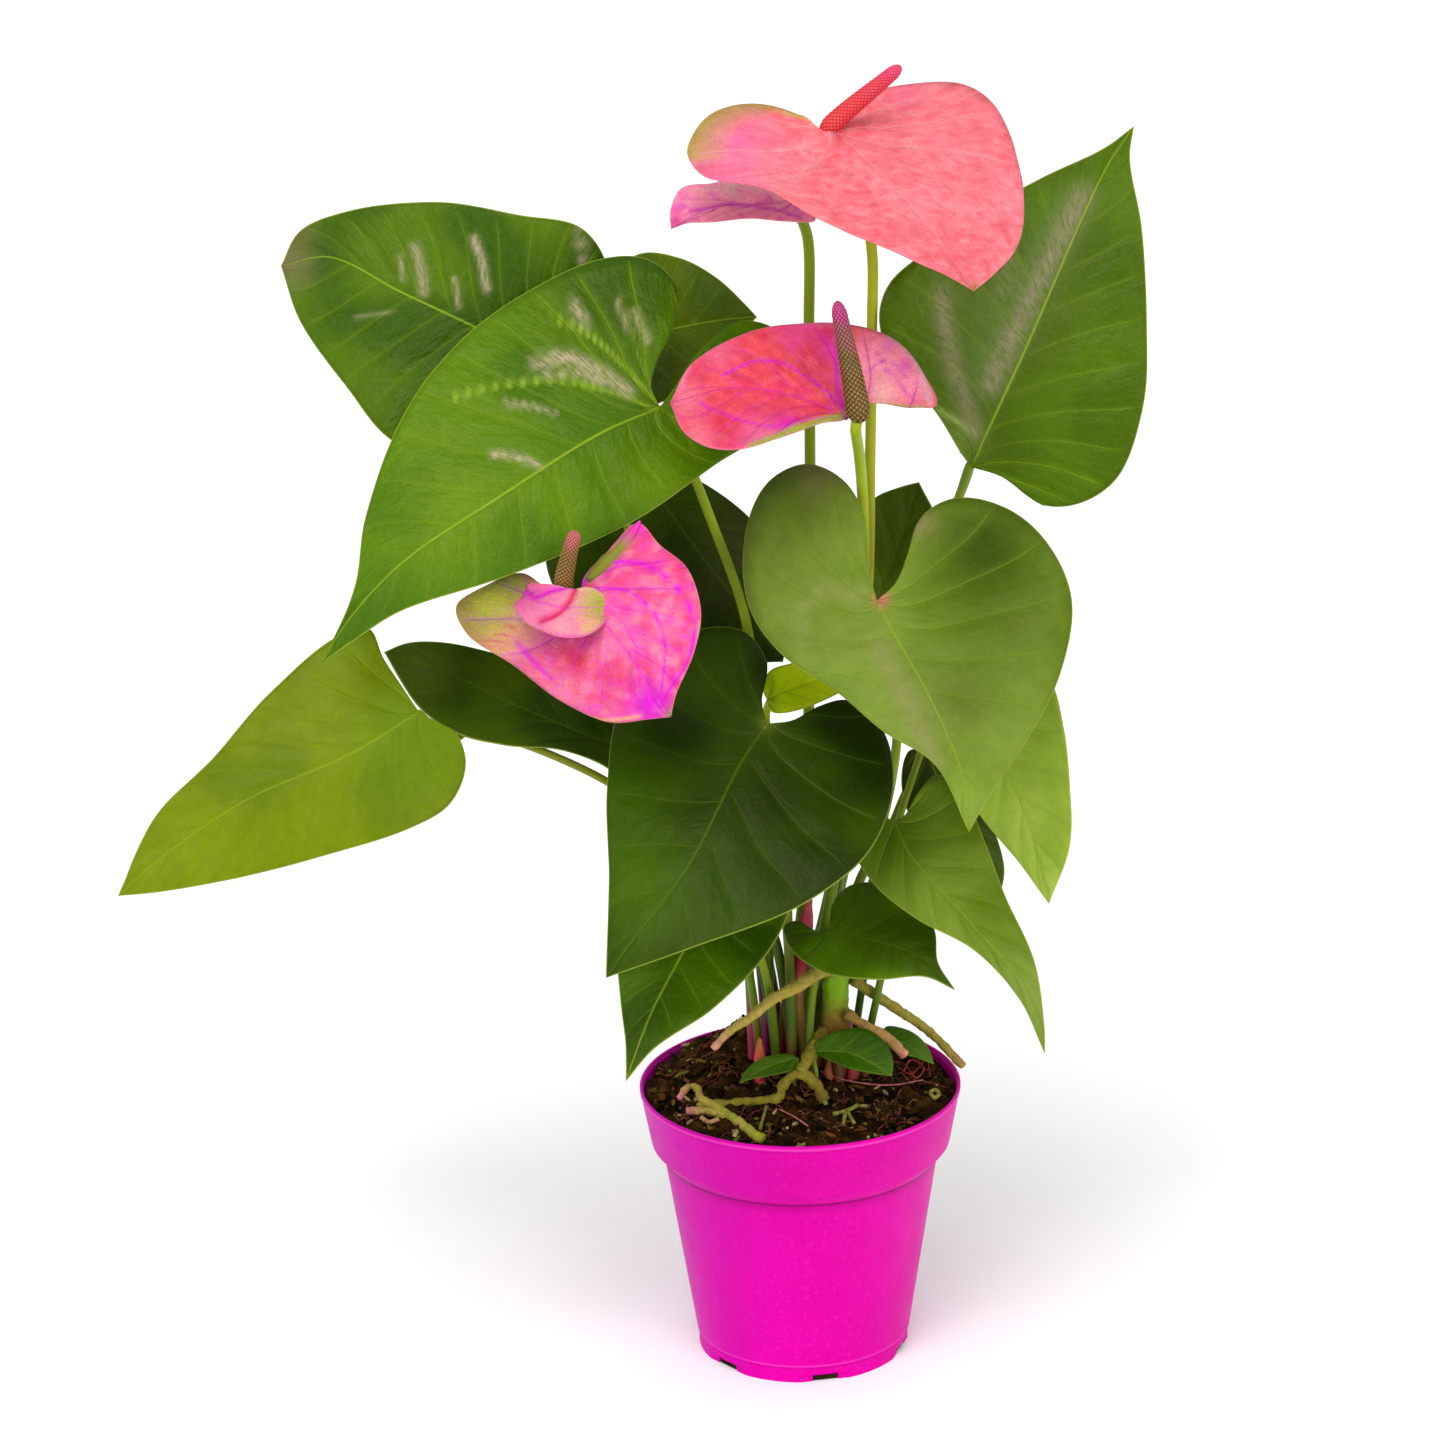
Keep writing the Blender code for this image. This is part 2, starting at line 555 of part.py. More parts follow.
def blade_places(plan):
    """The middle surface of a blade, in millimetres, as [side][rib][step] from midrib to edge.

    The first rib runs along the edge of the notch.
    """
    ribs, steps = plan["ribs"], plan["steps"]
    base = np.array(plan["base"][:2], float)
    tip = np.array(plan["tip"][:2], float)
    slope = plane_slope(plan["base"], plan["tip"], plan["side"])
    axis = tip - base
    length = np.linalg.norm(axis)
    shares = np.linspace(0, 1, ribs + 1)
    across = np.linspace(0, 1, steps + 1)
    rib_feet = np.clip((shares - plan["lobe"]) / (1 - plan["lobe"]), 0, 1) ** 1.15
    midrib = curve_at([base, *plan["midrib"], tip], rib_feet)
    sides = []
    reaches = plan.get("reach", (plan["lobe"],) * 2)
    for name, notch_points, reach in zip(("left", "right"), plan["notch"], reaches):
        line = [base, *plan[name], tip]
        first = notch_share(line, notch_points)
        edge = curve_at(line, first + (1 - first) * np.interp(shares, [0, plan["lobe"], 1], [0, reach, 1]))
        side = midrib[:, None] + across[:, None] * (edge - midrib)[:, None]
        side[0] = curve_at(line, across * first)
        sides.append(evened(side))
    widest = max(np.linalg.norm(side[:, -1] - midrib, axis=1).max() for side in sides)
    places = []
    for number, side in enumerate(sides):
        grid = np.empty((ribs + 1, steps + 1, 3))
        for i, share in enumerate(shares):
            width = np.linalg.norm(side[i, -1] - midrib[i]) / widest
            for j, w in enumerate(across):
                at = side[i, j]
                s = (at - base) @ axis / length ** 2
                depth = plan["base"][2] + slope @ (at - base)
                depth += plan["arch"] * 4 * s * (1 - s if s > 0 else LOBE_BEND)
                depth += plan["fold"] * width * w ** 1.4
                depth += plan["wave"] * math.sin(2 * math.pi * (2.3 * share + 0.37 * number)) * w ** 2 * width
                grid[i, j] = seen(at[0], at[1], depth)
        places.append(grid)
    return places


def sheet_faces(ribs, steps, lobe):
    """Numbers each point of a blade once. Returns the number of each point and the triangles."""
    numbers = {}

    def number_of(side, i, j):
        if j == 0 and i / ribs <= lobe:
            key = "base"
        elif i == ribs:
            key = "tip"
        elif j == 0:
            key = ("midrib", i)
        else:
            key = (side, i, j)
        return numbers.setdefault(key, len(numbers))

    triangles = []
    points = {}
    for side in (0, 1):
        for i in range(ribs + 1):
            for j in range(steps + 1):
                points[side, i, j] = number_of(side, i, j)
        for i in range(ribs):
            for j in range(steps):
                a, b = points[side, i, j], points[side, i + 1, j]
                c, d = points[side, i + 1, j + 1], points[side, i, j + 1]
                for triangle in ((a, b, c), (a, c, d)):
                    if len(set(triangle)) == 3:
                        triangles.append(triangle if side == 0 else triangle[::-1])
    edge = [points[0, 0, j] for j in range(steps)]
    edge += [points[0, i, steps] for i in range(ribs + 1)]
    edge += [points[1, i, steps] for i in range(ribs - 1, -1, -1)]
    edge += [points[1, 0, j] for j in range(steps - 1, 0, -1)]
    return points, triangles, edge


def sheet_normals(places, triangles):
    """The direction across a sheet at each of its points, on the side that faces the view."""
    normals = np.zeros_like(places)
    for a, b, c in triangles:
        across = np.cross(places[b] - places[a], places[c] - places[a])
        for k in (a, b, c):
            normals[k] += across
    normals /= np.linalg.norm(normals, axis=1)[:, None]
    if (normals @ VIEW_FORWARD).mean() > 0:
        normals = -normals
    return normals


def blade_solid(plan, thickness):
    """A blade as vertices and faces, with its midrib's points and their directions."""
    ribs, steps = plan["ribs"], plan["steps"]
    sides = blade_places(plan)
    points, triangles, edge = sheet_faces(ribs, steps, plan["lobe"])
    places = np.empty((max(points.values()) + 1, 3))
    for (side, i, j), k in points.items():
        places[k] = sides[side][i, j]
    normals = sheet_normals(places, triangles)
    count = len(places)
    vertices = np.concatenate([places + normals * thickness / 2, places - normals * thickness / 2])
    faces = list(triangles)
    faces += [(c + count, b + count, a + count) for a, b, c in triangles]
    for a, b in zip(edge, edge[1:] + edge[:1]):
        faces += [(a, b, b + count), (a, b + count, a + count)]
    first_rib = max(i for i in range(ribs + 1) if i / ribs <= plan["lobe"])
    midrib = [points[0, i, 0] for i in range(first_rib, ribs + 1)]
    return vertices, faces, places[midrib], normals[midrib]


def tube_solid(path, radii, sides, relief=0.0):
    """A closed tube along a path. relief raises every other point, as florets do."""
    path = np.array(path, float)
    directions = np.gradient(path, axis=0)
    directions /= np.linalg.norm(directions, axis=1)[:, None]
    helper = np.array([0.0, 1.0, 0.0]) if abs(directions[0][1]) < 0.9 else np.array([1.0, 0.0, 0.0])
    across = np.cross(directions[0], helper)
    vertices, faces = [], []
    last = len(path) - 1
    for i, (centre, forward, radius) in enumerate(zip(path, directions, radii)):
        across = across - forward * (across @ forward)
        across /= np.linalg.norm(across)
        other = np.cross(forward, across)
        for k in range(sides):
            angle = 2 * math.pi * k / sides
            bump = relief * (-1) ** (i + k) if 0 < i < last else 0.0
            offset = across * math.cos(angle) + other * math.sin(angle)
            vertices.append(centre + offset * radius * (1 + bump))
    for i in range(last):
        for k in range(sides):
            a, b = i * sides + k, i * sides + (k + 1) % sides
            faces += [(a, b, b + sides), (a, b + sides, a + sides)]
    faces.append(tuple(range(sides))[::-1])
    faces.append(tuple(last * sides + k for k in range(sides)))
    return np.array(vertices), faces


def new_object(name, vertices, faces):
    """An object from millimetre vertices, with its faces turned outward."""
    mesh = bpy.data.meshes.new(name)
    mesh.from_pydata([Vector(v) * MM for v in vertices], [], faces)
    shape = bmesh.new()
    shape.from_mesh(mesh)
    bmesh.ops.recalc_face_normals(shape, faces=shape.faces)
    if shape.calc_volume(signed=True) < 0:
        bmesh.ops.reverse_faces(shape, faces=shape.faces)
    shape.to_mesh(mesh)
    shape.free()
    obj = bpy.data.objects.new(name, mesh)
    bpy.context.scene.collection.objects.link(obj)
    return obj


def apply_boolean(obj, cutter, operation):
    """Joins or cuts an object with another, keeps the result and drops the other."""
    modifier = obj.modifiers.new(operation.lower(), "BOOLEAN")
    modifier.operation = operation
    modifier.solver = "EXACT"
    modifier.use_self = operation == "UNION"
    modifier.object = cutter
    bpy.context.view_layer.update()
    result = obj.evaluated_get(bpy.context.evaluated_depsgraph_get())
    mesh = bpy.data.meshes.new_from_object(result)
    obj.modifiers.clear()
    shape = bmesh.new()
    shape.from_mesh(mesh)
    bmesh.ops.remove_doubles(shape, verts=shape.verts, dist=MERGE_DISTANCE)
    shape.to_mesh(mesh)
    shape.free()
    obj.data = mesh
    bpy.data.objects.remove(cutter)


def finish_object(obj, material, smooth_angle=40):
    """Smooth shading and a material."""
    obj.data.shade_smooth()
    obj.data.set_sharp_from_angle(angle=math.radians(smooth_angle))
    obj.data.materials.clear()
    obj.data.materials.append(material)


def new_material(name, colour, roughness, metallic=0.0):
    """A plain material in one colour."""
    material = bpy.data.materials.new(name)
    material.use_nodes = True
    shader = material.node_tree.nodes["Principled BSDF"]
    shader.inputs["Base Color"].default_value = (*colour, 1.0)
    shader.inputs["Roughness"].default_value = roughness
    shader.inputs["Metallic"].default_value = metallic
    material.diffuse_color = (*colour, 1.0)
    return material


def soil_height(x, y):
    """The height of the soil's surface."""
    def bump(centre, spread):
        return math.exp(-((x - centre[0]) ** 2 + (y - centre[1]) ** 2) / (2 * spread ** 2))

    height = POT_HEIGHT - SOIL_EDGE_BELOW_RIM
    height += SOIL_MOUND_HEIGHT * bump(SOIL_MOUND_CENTRE, SOIL_MOUND_SPREAD)
    height += SOIL_HUMP_HEIGHT * bump(SOIL_HUMP_CENTRE, SOIL_HUMP_SPREAD)
    lumps = math.sin(0.31 * x + 1.3) * math.sin(0.27 * y - 0.4) + 0.6 * math.sin(0.53 * x - 0.47 * y)
    return height + SOIL_LUMP * lumps


def on_soil(across, down, lift):
    """The place where a point of the view meets the soil's surface, raised by lift."""
    near, far = 58.0, -58.0
    for _ in range(40):
        middle = (near + far) / 2
        x, y, z = seen(across, down, middle)
        if z > soil_height(x, y) + lift:
            near = middle
        else:
            far = middle
    return seen(across, down, (near + far) / 2)


def pot_outline():
    """The pot's outer wall from foot to rim, as (radius, height)."""
    collar_foot = POT_HEIGHT - POT_COLLAR_HEIGHT
    return [
        (POT_FOOT_RADIUS - POT_FOOT_INSET, 0.0),
        (POT_FOOT_RADIUS - POT_FOOT_INSET, POT_FOOT_HEIGHT - 0.6),
        (POT_FOOT_RADIUS, POT_FOOT_HEIGHT),
        (POT_STEP_RADIUS - 0.3, collar_foot - POT_STEP_HEIGHT),
        (POT_STEP_RADIUS + 1.4, collar_foot - POT_STEP_HEIGHT * 0.62),
        (POT_COLLAR_RADIUS - 1.4, collar_foot - POT_STEP_HEIGHT * 0.22),
        (POT_COLLAR_RADIUS, collar_foot + 1.2),
        (POT_RIM_RADIUS - 0.3, POT_HEIGHT - 0.8),
        (POT_RIM_RADIUS, POT_HEIGHT),
    ]


def pot_bore():
    """The pot's inner wall from floor to rim, as (radius, height)."""
    collar_foot = POT_HEIGHT - POT_COLLAR_HEIGHT
    return [
        (POT_FOOT_RADIUS - POT_WALL - POT_FOOT_INSET, POT_FLOOR),
        (POT_STEP_RADIUS - POT_WALL, collar_foot - POT_STEP_HEIGHT + POT_WALL),
        (POT_COLLAR_RADIUS - POT_WALL - 0.4, collar_foot + POT_WALL),
        (POT_RIM_RADIUS - POT_WALL, POT_HEIGHT),
    ]


def turned(name, outline):
    """A turned solid whose outline, as (radius, height), starts and ends on the axis."""
    vertices, faces, rings = [], [], []
    for radius, height in outline:
        if radius == 0:
            rings.append([len(vertices)] * POT_SIDES)
            vertices.append((0.0, 0.0, height))
        else:
            rings.append([len(vertices) + k for k in range(POT_SIDES)])
            for k in range(POT_SIDES):
                angle = 2 * math.pi * k / POT_SIDES
                vertices.append((radius * math.cos(angle), radius * math.sin(angle), height))
    for lower, upper in zip(rings, rings[1:]):
        for k in range(POT_SIDES):
            n = (k + 1) % POT_SIDES
            corners = list(dict.fromkeys((lower[k], lower[n], upper[n], upper[k])))
            faces.append(tuple(corners))
    return new_object(name, vertices, faces)


def box(name, size, place, turn):
    """A block of a given size, turned about Z."""
    half = [s / 2 for s in size]
    signs = (-1, 1)
    corners = [(i * half[0], j * half[1], k * half[2]) for i in signs for j in signs for k in signs]
    c, s = math.cos(turn), math.sin(turn)
    vertices = [(x * c - y * s + place[0], x * s + y * c + place[1], z + place[2]) for x, y, z in corners]
    faces = [(0, 1, 3, 2), (4, 6, 7, 5), (0, 4, 5, 1), (2, 3, 7, 6), (0, 2, 6, 4), (1, 5, 7, 3)]
    return new_object(name, vertices, faces)


def build_pot(material):
    """The pot, with its drain notches at the foot."""
    outline = [(0, 0), *pot_outline(), *pot_bore()[::-1], (0, POT_FLOOR)]
    pot = turned("pot", outline)
    for i in range(DRAIN_COUNT):
        angle = DRAIN_FIRST_ANGLE + 2 * math.pi * i / DRAIN_COUNT
        for width, height, depth in (
            (DRAIN_WIDTH, DRAIN_HEIGHT, DRAIN_DEPTH),
            (DRAIN_STEP_WIDTH, DRAIN_STEP_HEIGHT, DRAIN_STEP_DEPTH),
        ):
            place = (POT_FOOT_RADIUS * math.cos(angle), POT_FOOT_RADIUS * math.sin(angle), 0)
            notch = box("notch", (depth, width, height * 2), place, angle)
            apply_boolean(pot, notch, "DIFFERENCE")
    finish_object(pot, material)


def foot_place(foot):
    """A stalk's foot on the soil's surface, from its (X, depth)."""
    x, y = foot[0], -foot[1]
    return np.array([x, y, soil_height(x, y)])


def build_soil(material, holes):
    """The soil, with a plain hole for everything that stands in it."""
    top_height = POT_HEIGHT - SOIL_EDGE_BELOW_RIM
    bore = pot_bore()
    rim_radius, collar_radius = bore[3][0], bore[2][0]
    rise = (top_height - bore[2][1]) / (bore[3][1] - bore[2][1])
    top_radius = collar_radius + (rim_radius - collar_radius) * rise - GAP * 1.3
    outline = [(0, POT_FLOOR + GAP), (bore[0][0] - GAP * 1.3, POT_FLOOR + GAP)]
    outline += [(bore[1][0] - GAP * 1.3, bore[1][1] + 0.2), (collar_radius - GAP * 1.3, bore[2][1] + 0.2)]
    outline += [(top_radius * (1 - i / SOIL_RINGS), top_height) for i in range(SOIL_RINGS)]
    outline.append((0, top_height))
    soil = turned("soil", outline)
    for vertex in soil.data.vertices:
        x, y, z = vertex.co / MM
        if z > top_height - 0.01:
            edge = min(1.0, (top_radius - math.hypot(x, y)) / 8 + 0.3)
            vertex.co.z = (top_height + (soil_height(x, y) - top_height) * edge) * MM
    vertices, faces = [], []
    for foot, radius in holes:
        x, y, z = foot_place(foot)
        outer = (radius + GAP * 1.2) / math.cos(math.pi / HOLE_SIDES)
        bottom = z - HOLE_DEPTH - GAP
        start = len(vertices)
        for height in (bottom, z + 30):
            for k in range(HOLE_SIDES):
                angle = 2 * math.pi * k / HOLE_SIDES
                vertices.append((x + outer * math.cos(angle), y + outer * math.sin(angle), height))
        faces.append(tuple(start + k for k in range(HOLE_SIDES))[::-1])
        faces.append(tuple(start + HOLE_SIDES + k for k in range(HOLE_SIDES)))
        for k in range(HOLE_SIDES):
            n = (k + 1) % HOLE_SIDES
            faces.append((start + k, start + n, start + HOLE_SIDES + n, start + HOLE_SIDES + k))
    apply_boolean(soil, new_object("holes", vertices, faces), "DIFFERENCE")
    finish_object(soil, material)


def stalk_path(foot, route, ending, spacing):
    """A stalk's path: straight up out of its hole, along its route and to its ending."""
    place = foot_place(foot)
    up = np.array([0.0, 0.0, 1.0])
    guide = [place + up * 3, place + up * 8, *(seen(*point) for point in route), *ending]
    dense = smooth_curve(guide)
    length = np.linalg.norm(np.diff(dense, axis=0), axis=1).sum()
    pieces = max(4, round(length / spacing))
    body = curve_at(guide, np.linspace(0, 1, pieces + 1))
    return np.concatenate([[place - up * HOLE_DEPTH], body])


def build_leaf(name, plan, stalk, thickness, material):
    """A leaf: a blade with its stalk, which joins it in the notch."""
    vertices, faces, midrib, normals = blade_solid(plan, thickness)
    leaf = new_object(name, vertices, faces)
    radius = stalk["radius"]
    small = radius < 1
    under = midrib[0] - normals[0] * radius * 1.1
    path = stalk_path(stalk["foot"], stalk["route"], [under], 7 if small else STALK_SPACING)
    radii = np.linspace(radius, radius * 0.85, len(path))
    path = np.concatenate([path, [midrib[0] * 0.92 + midrib[1] * 0.08]])
    radii = np.append(radii, radius * 0.5)
    tube = new_object("stalk", *tube_solid(path, radii, STALK_SIDES))
    apply_boolean(leaf, tube, "UNION")
    finish_object(leaf, material)


def build_bloom(name, plan, stalk_material, spathe_material, spadix_material, flap=None):
    """A bloom: its stalk, its spathe, and its spadix standing in the spathe's notch."""
    vertices, faces, midrib, normals = blade_solid(plan, SPATHE_THICKNESS)
    spathe = new_object(name + "_spathe", vertices, faces)
    if flap:
        flap_vertices, flap_faces, _, _ = blade_solid(flap, SPATHE_THICKNESS)
        apply_boolean(spathe, new_object("flap", flap_vertices, flap_faces), "UNION")
    finish_object(spathe, spathe_material)

    radius = plan["radius"]
    spadix_tip = seen(*plan["spadix"])
    rise = spadix_tip - midrib[0]
    rise = rise / np.linalg.norm(rise) + normals[0] * JOINT_LEAN
    rise /= np.linalg.norm(rise)
    backward = midrib[0] - midrib[2]
    backward -= rise * (backward @ rise)
    backward /= np.linalg.norm(backward)
    joint = midrib[0] + backward * (radius + GAP + SPATHE_THICKNESS * 0.7)
    path = stalk_path(plan["foot"], plan["route"], [joint - rise * 4], STALK_SPACING)
    path = np.concatenate([path, [joint - rise * 1.5, joint + rise]])
    radii = np.linspace(radius, radius * 0.95, len(path))
    stalk = new_object(name + "_stalk", *tube_solid(path, radii, STALK_SIDES))
    finish_object(stalk, stalk_material)

    foot_radius, tip_radius = plan["spadix_radii"]
    start = joint + rise * (1 + GAP * 1.2)
    lengths = np.linspace(0, 1, SPADIX_RINGS + 1)
    path = curve_at([start, start + rise * 4, spadix_tip], lengths)
    bulge = np.interp(lengths, [0, 0.06, 0.13, 0.5, 0.93, 1], [0, 0.6, 1, 0.96, 0.85, 0.45])
    radii = bulge * (foot_radius + (tip_radius - foot_radius) * lengths)
    radii = np.maximum(radii, np.where(lengths < 0.1, radius, 0))
    spadix = new_object(name + "_spadix", *tube_solid(path, radii, SPADIX_SIDES, relief=0.07))
    finish_object(spadix, spadix_material, 60)


def build_standing(name, foot, profile, material, sides=10):
    """An upright round piece in its own hole, from (height, radius) up its axis."""
    place = foot_place(foot)
    path = [place - np.array([0, 0, HOLE_DEPTH])]
    path += [np.array([place[0], place[1], height]) for height, _ in profile]
    radii = [profile[0][1]] + [radius for _, radius in profile]
    finish_object(new_object(name, *tube_solid(path, radii, sides)), material)


def build_root(name, place_list, radii, material, pieces):
    """A root along the given places."""
    path = curve_at(place_list, np.linspace(0, 1, pieces + 1))
    sizes = np.linspace(radii[0], radii[1], pieces + 1) * (1 + 0.06 * np.sin(2.4 * np.arange(pieces + 1)))
    root = new_object(name, *tube_solid(path, sizes, 6))
    finish_object(root, material)
    return root


def build():
    """Clears the scene and models the plant and its pot."""
    for obj in list(bpy.data.objects):
        bpy.data.objects.remove(obj)

    leaf_green = new_material("leaf_green", (0.07, 0.22, 0.012), 0.38)
    young_green = new_material("young_green", (0.24, 0.38, 0.01), 0.4)
    dark_green = new_material("dark_green", (0.025, 0.09, 0.01), 0.4)
    stalk_green = new_material("stalk_green", (0.2, 0.33, 0.02), 0.45)
    coral = new_material("coral", (0.95, 0.16, 0.2), 0.4)
    magenta = new_material("magenta", (0.8, 0.05, 0.42), 0.4)
    red = new_material("red", (0.85, 0.06, 0.1), 0.4)
    spadix_brown = new_material("spadix_brown", (0.33, 0.12, 0.03), 0.7)
    spadix_red = new_material("spadix_red", (0.75, 0.05, 0.1), 0.6)
    root_tan = new_material("root_tan", (0.32, 0.27, 0.07), 0.8)
    soil_brown = new_material("soil_brown", (0.035, 0.014, 0.008), 0.95)
    pot_magenta = new_material("pot_magenta", (0.85, 0.01, 0.5), 0.35)

    build_pot(pot_magenta)

    greens = {
        "leaf_yellow_left": young_green,
        "leaf_young": young_green,
        "leaf_front_low": dark_green,
        "leaf_dark_left": dark_green,
        "leaf_behind_big_left": dark_green,
        "leaf_behind_centre": dark_green,
        "leaf_behind_right_low": dark_green,
    }
    for name, plan in LEAVES.items():
        thickness = SMALL_LEAF_THICKNESS if name.startswith("leaf_small") else LEAF_THICKNESS
        build_leaf(name, plan, STALKS[name], thickness, greens.get(name, leaf_green))

    build_bloom("bloom_top", BLOOMS["bloom_top"], stalk_green, coral, spadix_red)
    build_bloom("bloom_back", BLOOMS["bloom_back"], stalk_green, magenta, spadix_red)
    build_bloom("bloom_middle", BLOOMS["bloom_middle"], stalk_green, red, spadix_brown)
    low_bloom = BLOOMS["bloom_low_left"]
    build_bloom("bloom_low_left", low_bloom, stalk_green, magenta, spadix_brown, LOW_BLOOM_FLAP)

    build_standing("crown", CROWN_PLACE, CROWN_PROFILE, stalk_green)
    shoot_path = stalk_path(SHOOT_FOOT, SHOOT_ROUTE[:-1], [seen(*SHOOT_ROUTE[-1])], 12)
    stops = np.linspace(0, 1, len(SHOOT_RADII))
    shoot_radii = np.interp(np.linspace(0, 1, len(shoot_path)), stops, SHOOT_RADII)
    shoot = new_object("shoot", *tube_solid(shoot_path, shoot_radii, 8))
    finish_object(shoot, red)
    sheath_height = foot_place(SHEATH_FOOT)[2]
    sheath_profile = [(sheath_height + height, radius) for height, radius in SHEATH_PROFILE]
    build_standing("sheath", SHEATH_FOOT, sheath_profile, magenta, 8)

    for name, plan in ROOTS.items():
        build_root(name, [seen(*point) for point in plan["route"]], plan["radii"], root_tan, 12)
    lift = ROOT_FORK_RADII[0][0] + 1.4
    first, second = ([on_soil(*point, lift) for point in line] for line in ROOT_FORK)
    fork = build_root("root_fork", first, ROOT_FORK_RADII[0], root_tan, 10)
    branch = build_root("branch", second, ROOT_FORK_RADII[1], root_tan, 11)
    apply_boolean(fork, branch, "UNION")
    lift = ROOT_ARCH_RADII[1] + 0.6
    arch = [on_soil(*point, lift) for point in ROOT_ARCH]
    arch += [seen(*point) for point in ROOT_ARCH_RISE]
    arch.append(on_soil(*ROOT_ARCH_END, lift))
    build_root("root_arch", arch, ROOT_ARCH_RADII, root_tan, 14)

    holes = [(stalk["foot"], stalk["radius"]) for stalk in STALKS.values()]
    holes += [(plan["foot"], plan["radius"]) for plan in BLOOMS.values()]
    holes += [(CROWN_PLACE, CROWN_PROFILE[0][1] + 0.6), (SHOOT_FOOT, SHOOT_RADII[0])]
    holes.append((SHEATH_FOOT, SHEATH_PROFILE[0][1]))
    build_soil(soil_brown, holes)


build()
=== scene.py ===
"""The looks of the potted anthurium: fine leaves, blooms, roots, soil and pot over the frame.

Sizes are in millimetres until a mesh is made. A guide point is (across, down, depth): its
place in a square view 1445 units wide, and how far in front of the pot's axis it lies.
Colours are as they look on a screen, from 0 to 255.
"""

import math
import random
from collections import namedtuple

import bmesh
import bpy
import numpy as np
from mathutils import Matrix, Vector, noise


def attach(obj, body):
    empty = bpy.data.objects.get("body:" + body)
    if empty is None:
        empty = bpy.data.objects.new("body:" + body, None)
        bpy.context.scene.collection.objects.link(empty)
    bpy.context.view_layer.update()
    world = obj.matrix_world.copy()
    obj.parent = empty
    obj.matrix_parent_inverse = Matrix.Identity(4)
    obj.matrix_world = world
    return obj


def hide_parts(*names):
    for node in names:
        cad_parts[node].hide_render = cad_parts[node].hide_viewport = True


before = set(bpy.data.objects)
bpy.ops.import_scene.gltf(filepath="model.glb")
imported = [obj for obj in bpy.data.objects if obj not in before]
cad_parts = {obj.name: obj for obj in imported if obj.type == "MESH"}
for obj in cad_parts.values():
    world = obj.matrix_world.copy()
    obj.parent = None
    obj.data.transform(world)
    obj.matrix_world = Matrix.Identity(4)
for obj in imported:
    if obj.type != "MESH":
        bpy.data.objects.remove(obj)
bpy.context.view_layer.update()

MM = 0.001

# Pot and soil, as in the frame
POT_HEIGHT = 105.0
POT_RIM_RADIUS = 60.0
POT_COLLAR_RADIUS = 56.0
POT_COLLAR_HEIGHT = 22.3
POT_STEP_RADIUS = 51.5
POT_STEP_HEIGHT = 5.0
POT_FOOT_RADIUS = 40.3
POT_FOOT_INSET = 0.7
POT_FOOT_HEIGHT = 6.5
POT_WALL = 1.2
POT_FLOOR = 1.8
DRAIN_COUNT = 6
DRAIN_HEIGHT = 3.0
DRAIN_DEPTH = 5.0
DRAIN_FIRST_ANGLE = math.radians(281)
SOIL_EDGE_BELOW_RIM = 4.5
HOLE_DEPTH = 16.0
# (height, X, Y, spread) of the soil's mound and of its hump at the back left
SOIL_MOUNDS = ((15.0, -3.0, 4.0, 25.0), (10.0, -17.0, 26.0, 13.0))

# A drain notch and the wider step round it, as (width, height, depth)
NOTCH_SIZES = ((9.6, DRAIN_HEIGHT, DRAIN_DEPTH), (20.0, 2.8, 3.8))

# How finely parts are divided. Ribs are counted by the view's units between them.
RIB_SPACING = 6.5
FEWEST_RIBS = 28
MOST_RIBS = 96
STALK_SPACING = 2.5
ROOT_SPACING = 0.8
LEAF_STALK_SIDES = 14
ROUND_SIDES = 16
STANDING_SIDES = 36
BRACT_SIDES = 12
FINE_ROOT_SIDES = 8
FLORET_ROWS = 12
SPADIX_RINGS = 130
SPADIX_SIDES = 96
SOIL_RINGS = 64
SOIL_SIDES = 190
POT_SIDES = 144

# Blades: half their thickness at the edge, what the middle adds to it, and how wide the midrib's
# groove and keel are. LOBE_BEND is how far the lobes bend back, and JOINT_REACH how far from its
# joint a blade's facing is taken.
EDGE_HALF_THICKNESS = 0.24
MIDDLE_ADDS = 0.14
RIB_WIDTH = 1.2
LOBE_BEND = 0.5
JOINT_REACH = 7.0
# The quilting between veins: its height for their spacing, and its greatest height. VEIN_STAGGER
# is how far the veins of one half stand between those of the other.
QUILT_SHARE = 0.06
MOST_QUILT = 0.8
VEIN_STAGGER = 0.35
EDGE_WAVES = 2.3

# A bloom's joint: how far its spadix leans forward, and the stalk's place behind the spathe
JOINT_LEAN = 0.8
JOINT_BEHIND = 1.07

# The studio light: how bright a lit skin looks, and what its gloss adds
LIGHT_GAIN = 1.3
GLOSS_LIFT = 0.002

# The viewing point that guide points are seen from, and the camera stands at
VIEW_WIDTH = 1445.0
VIEW_FOCAL = 4800.0
VIEW_DISTANCE = 1800.0
VIEW_PITCH = math.radians(19.1)
VIEW_ROLL = math.radians(1.1)
RIM_CENTRE_SEEN = (800.0, 1081.5)
SENSOR = 36.0

VIEW_FORWARD = np.array([0.0, math.cos(VIEW_PITCH), -math.sin(VIEW_PITCH)])
VIEW_RIGHT = np.array([1.0, 0.0, 0.0])
VIEW_UP = np.array([0.0, math.sin(VIEW_PITCH), math.cos(VIEW_PITCH)])


def unit(v):
    """Directions, each with a length of one."""
    return v / np.maximum(np.linalg.norm(v, axis=-1, keepdims=True), 1e-9)


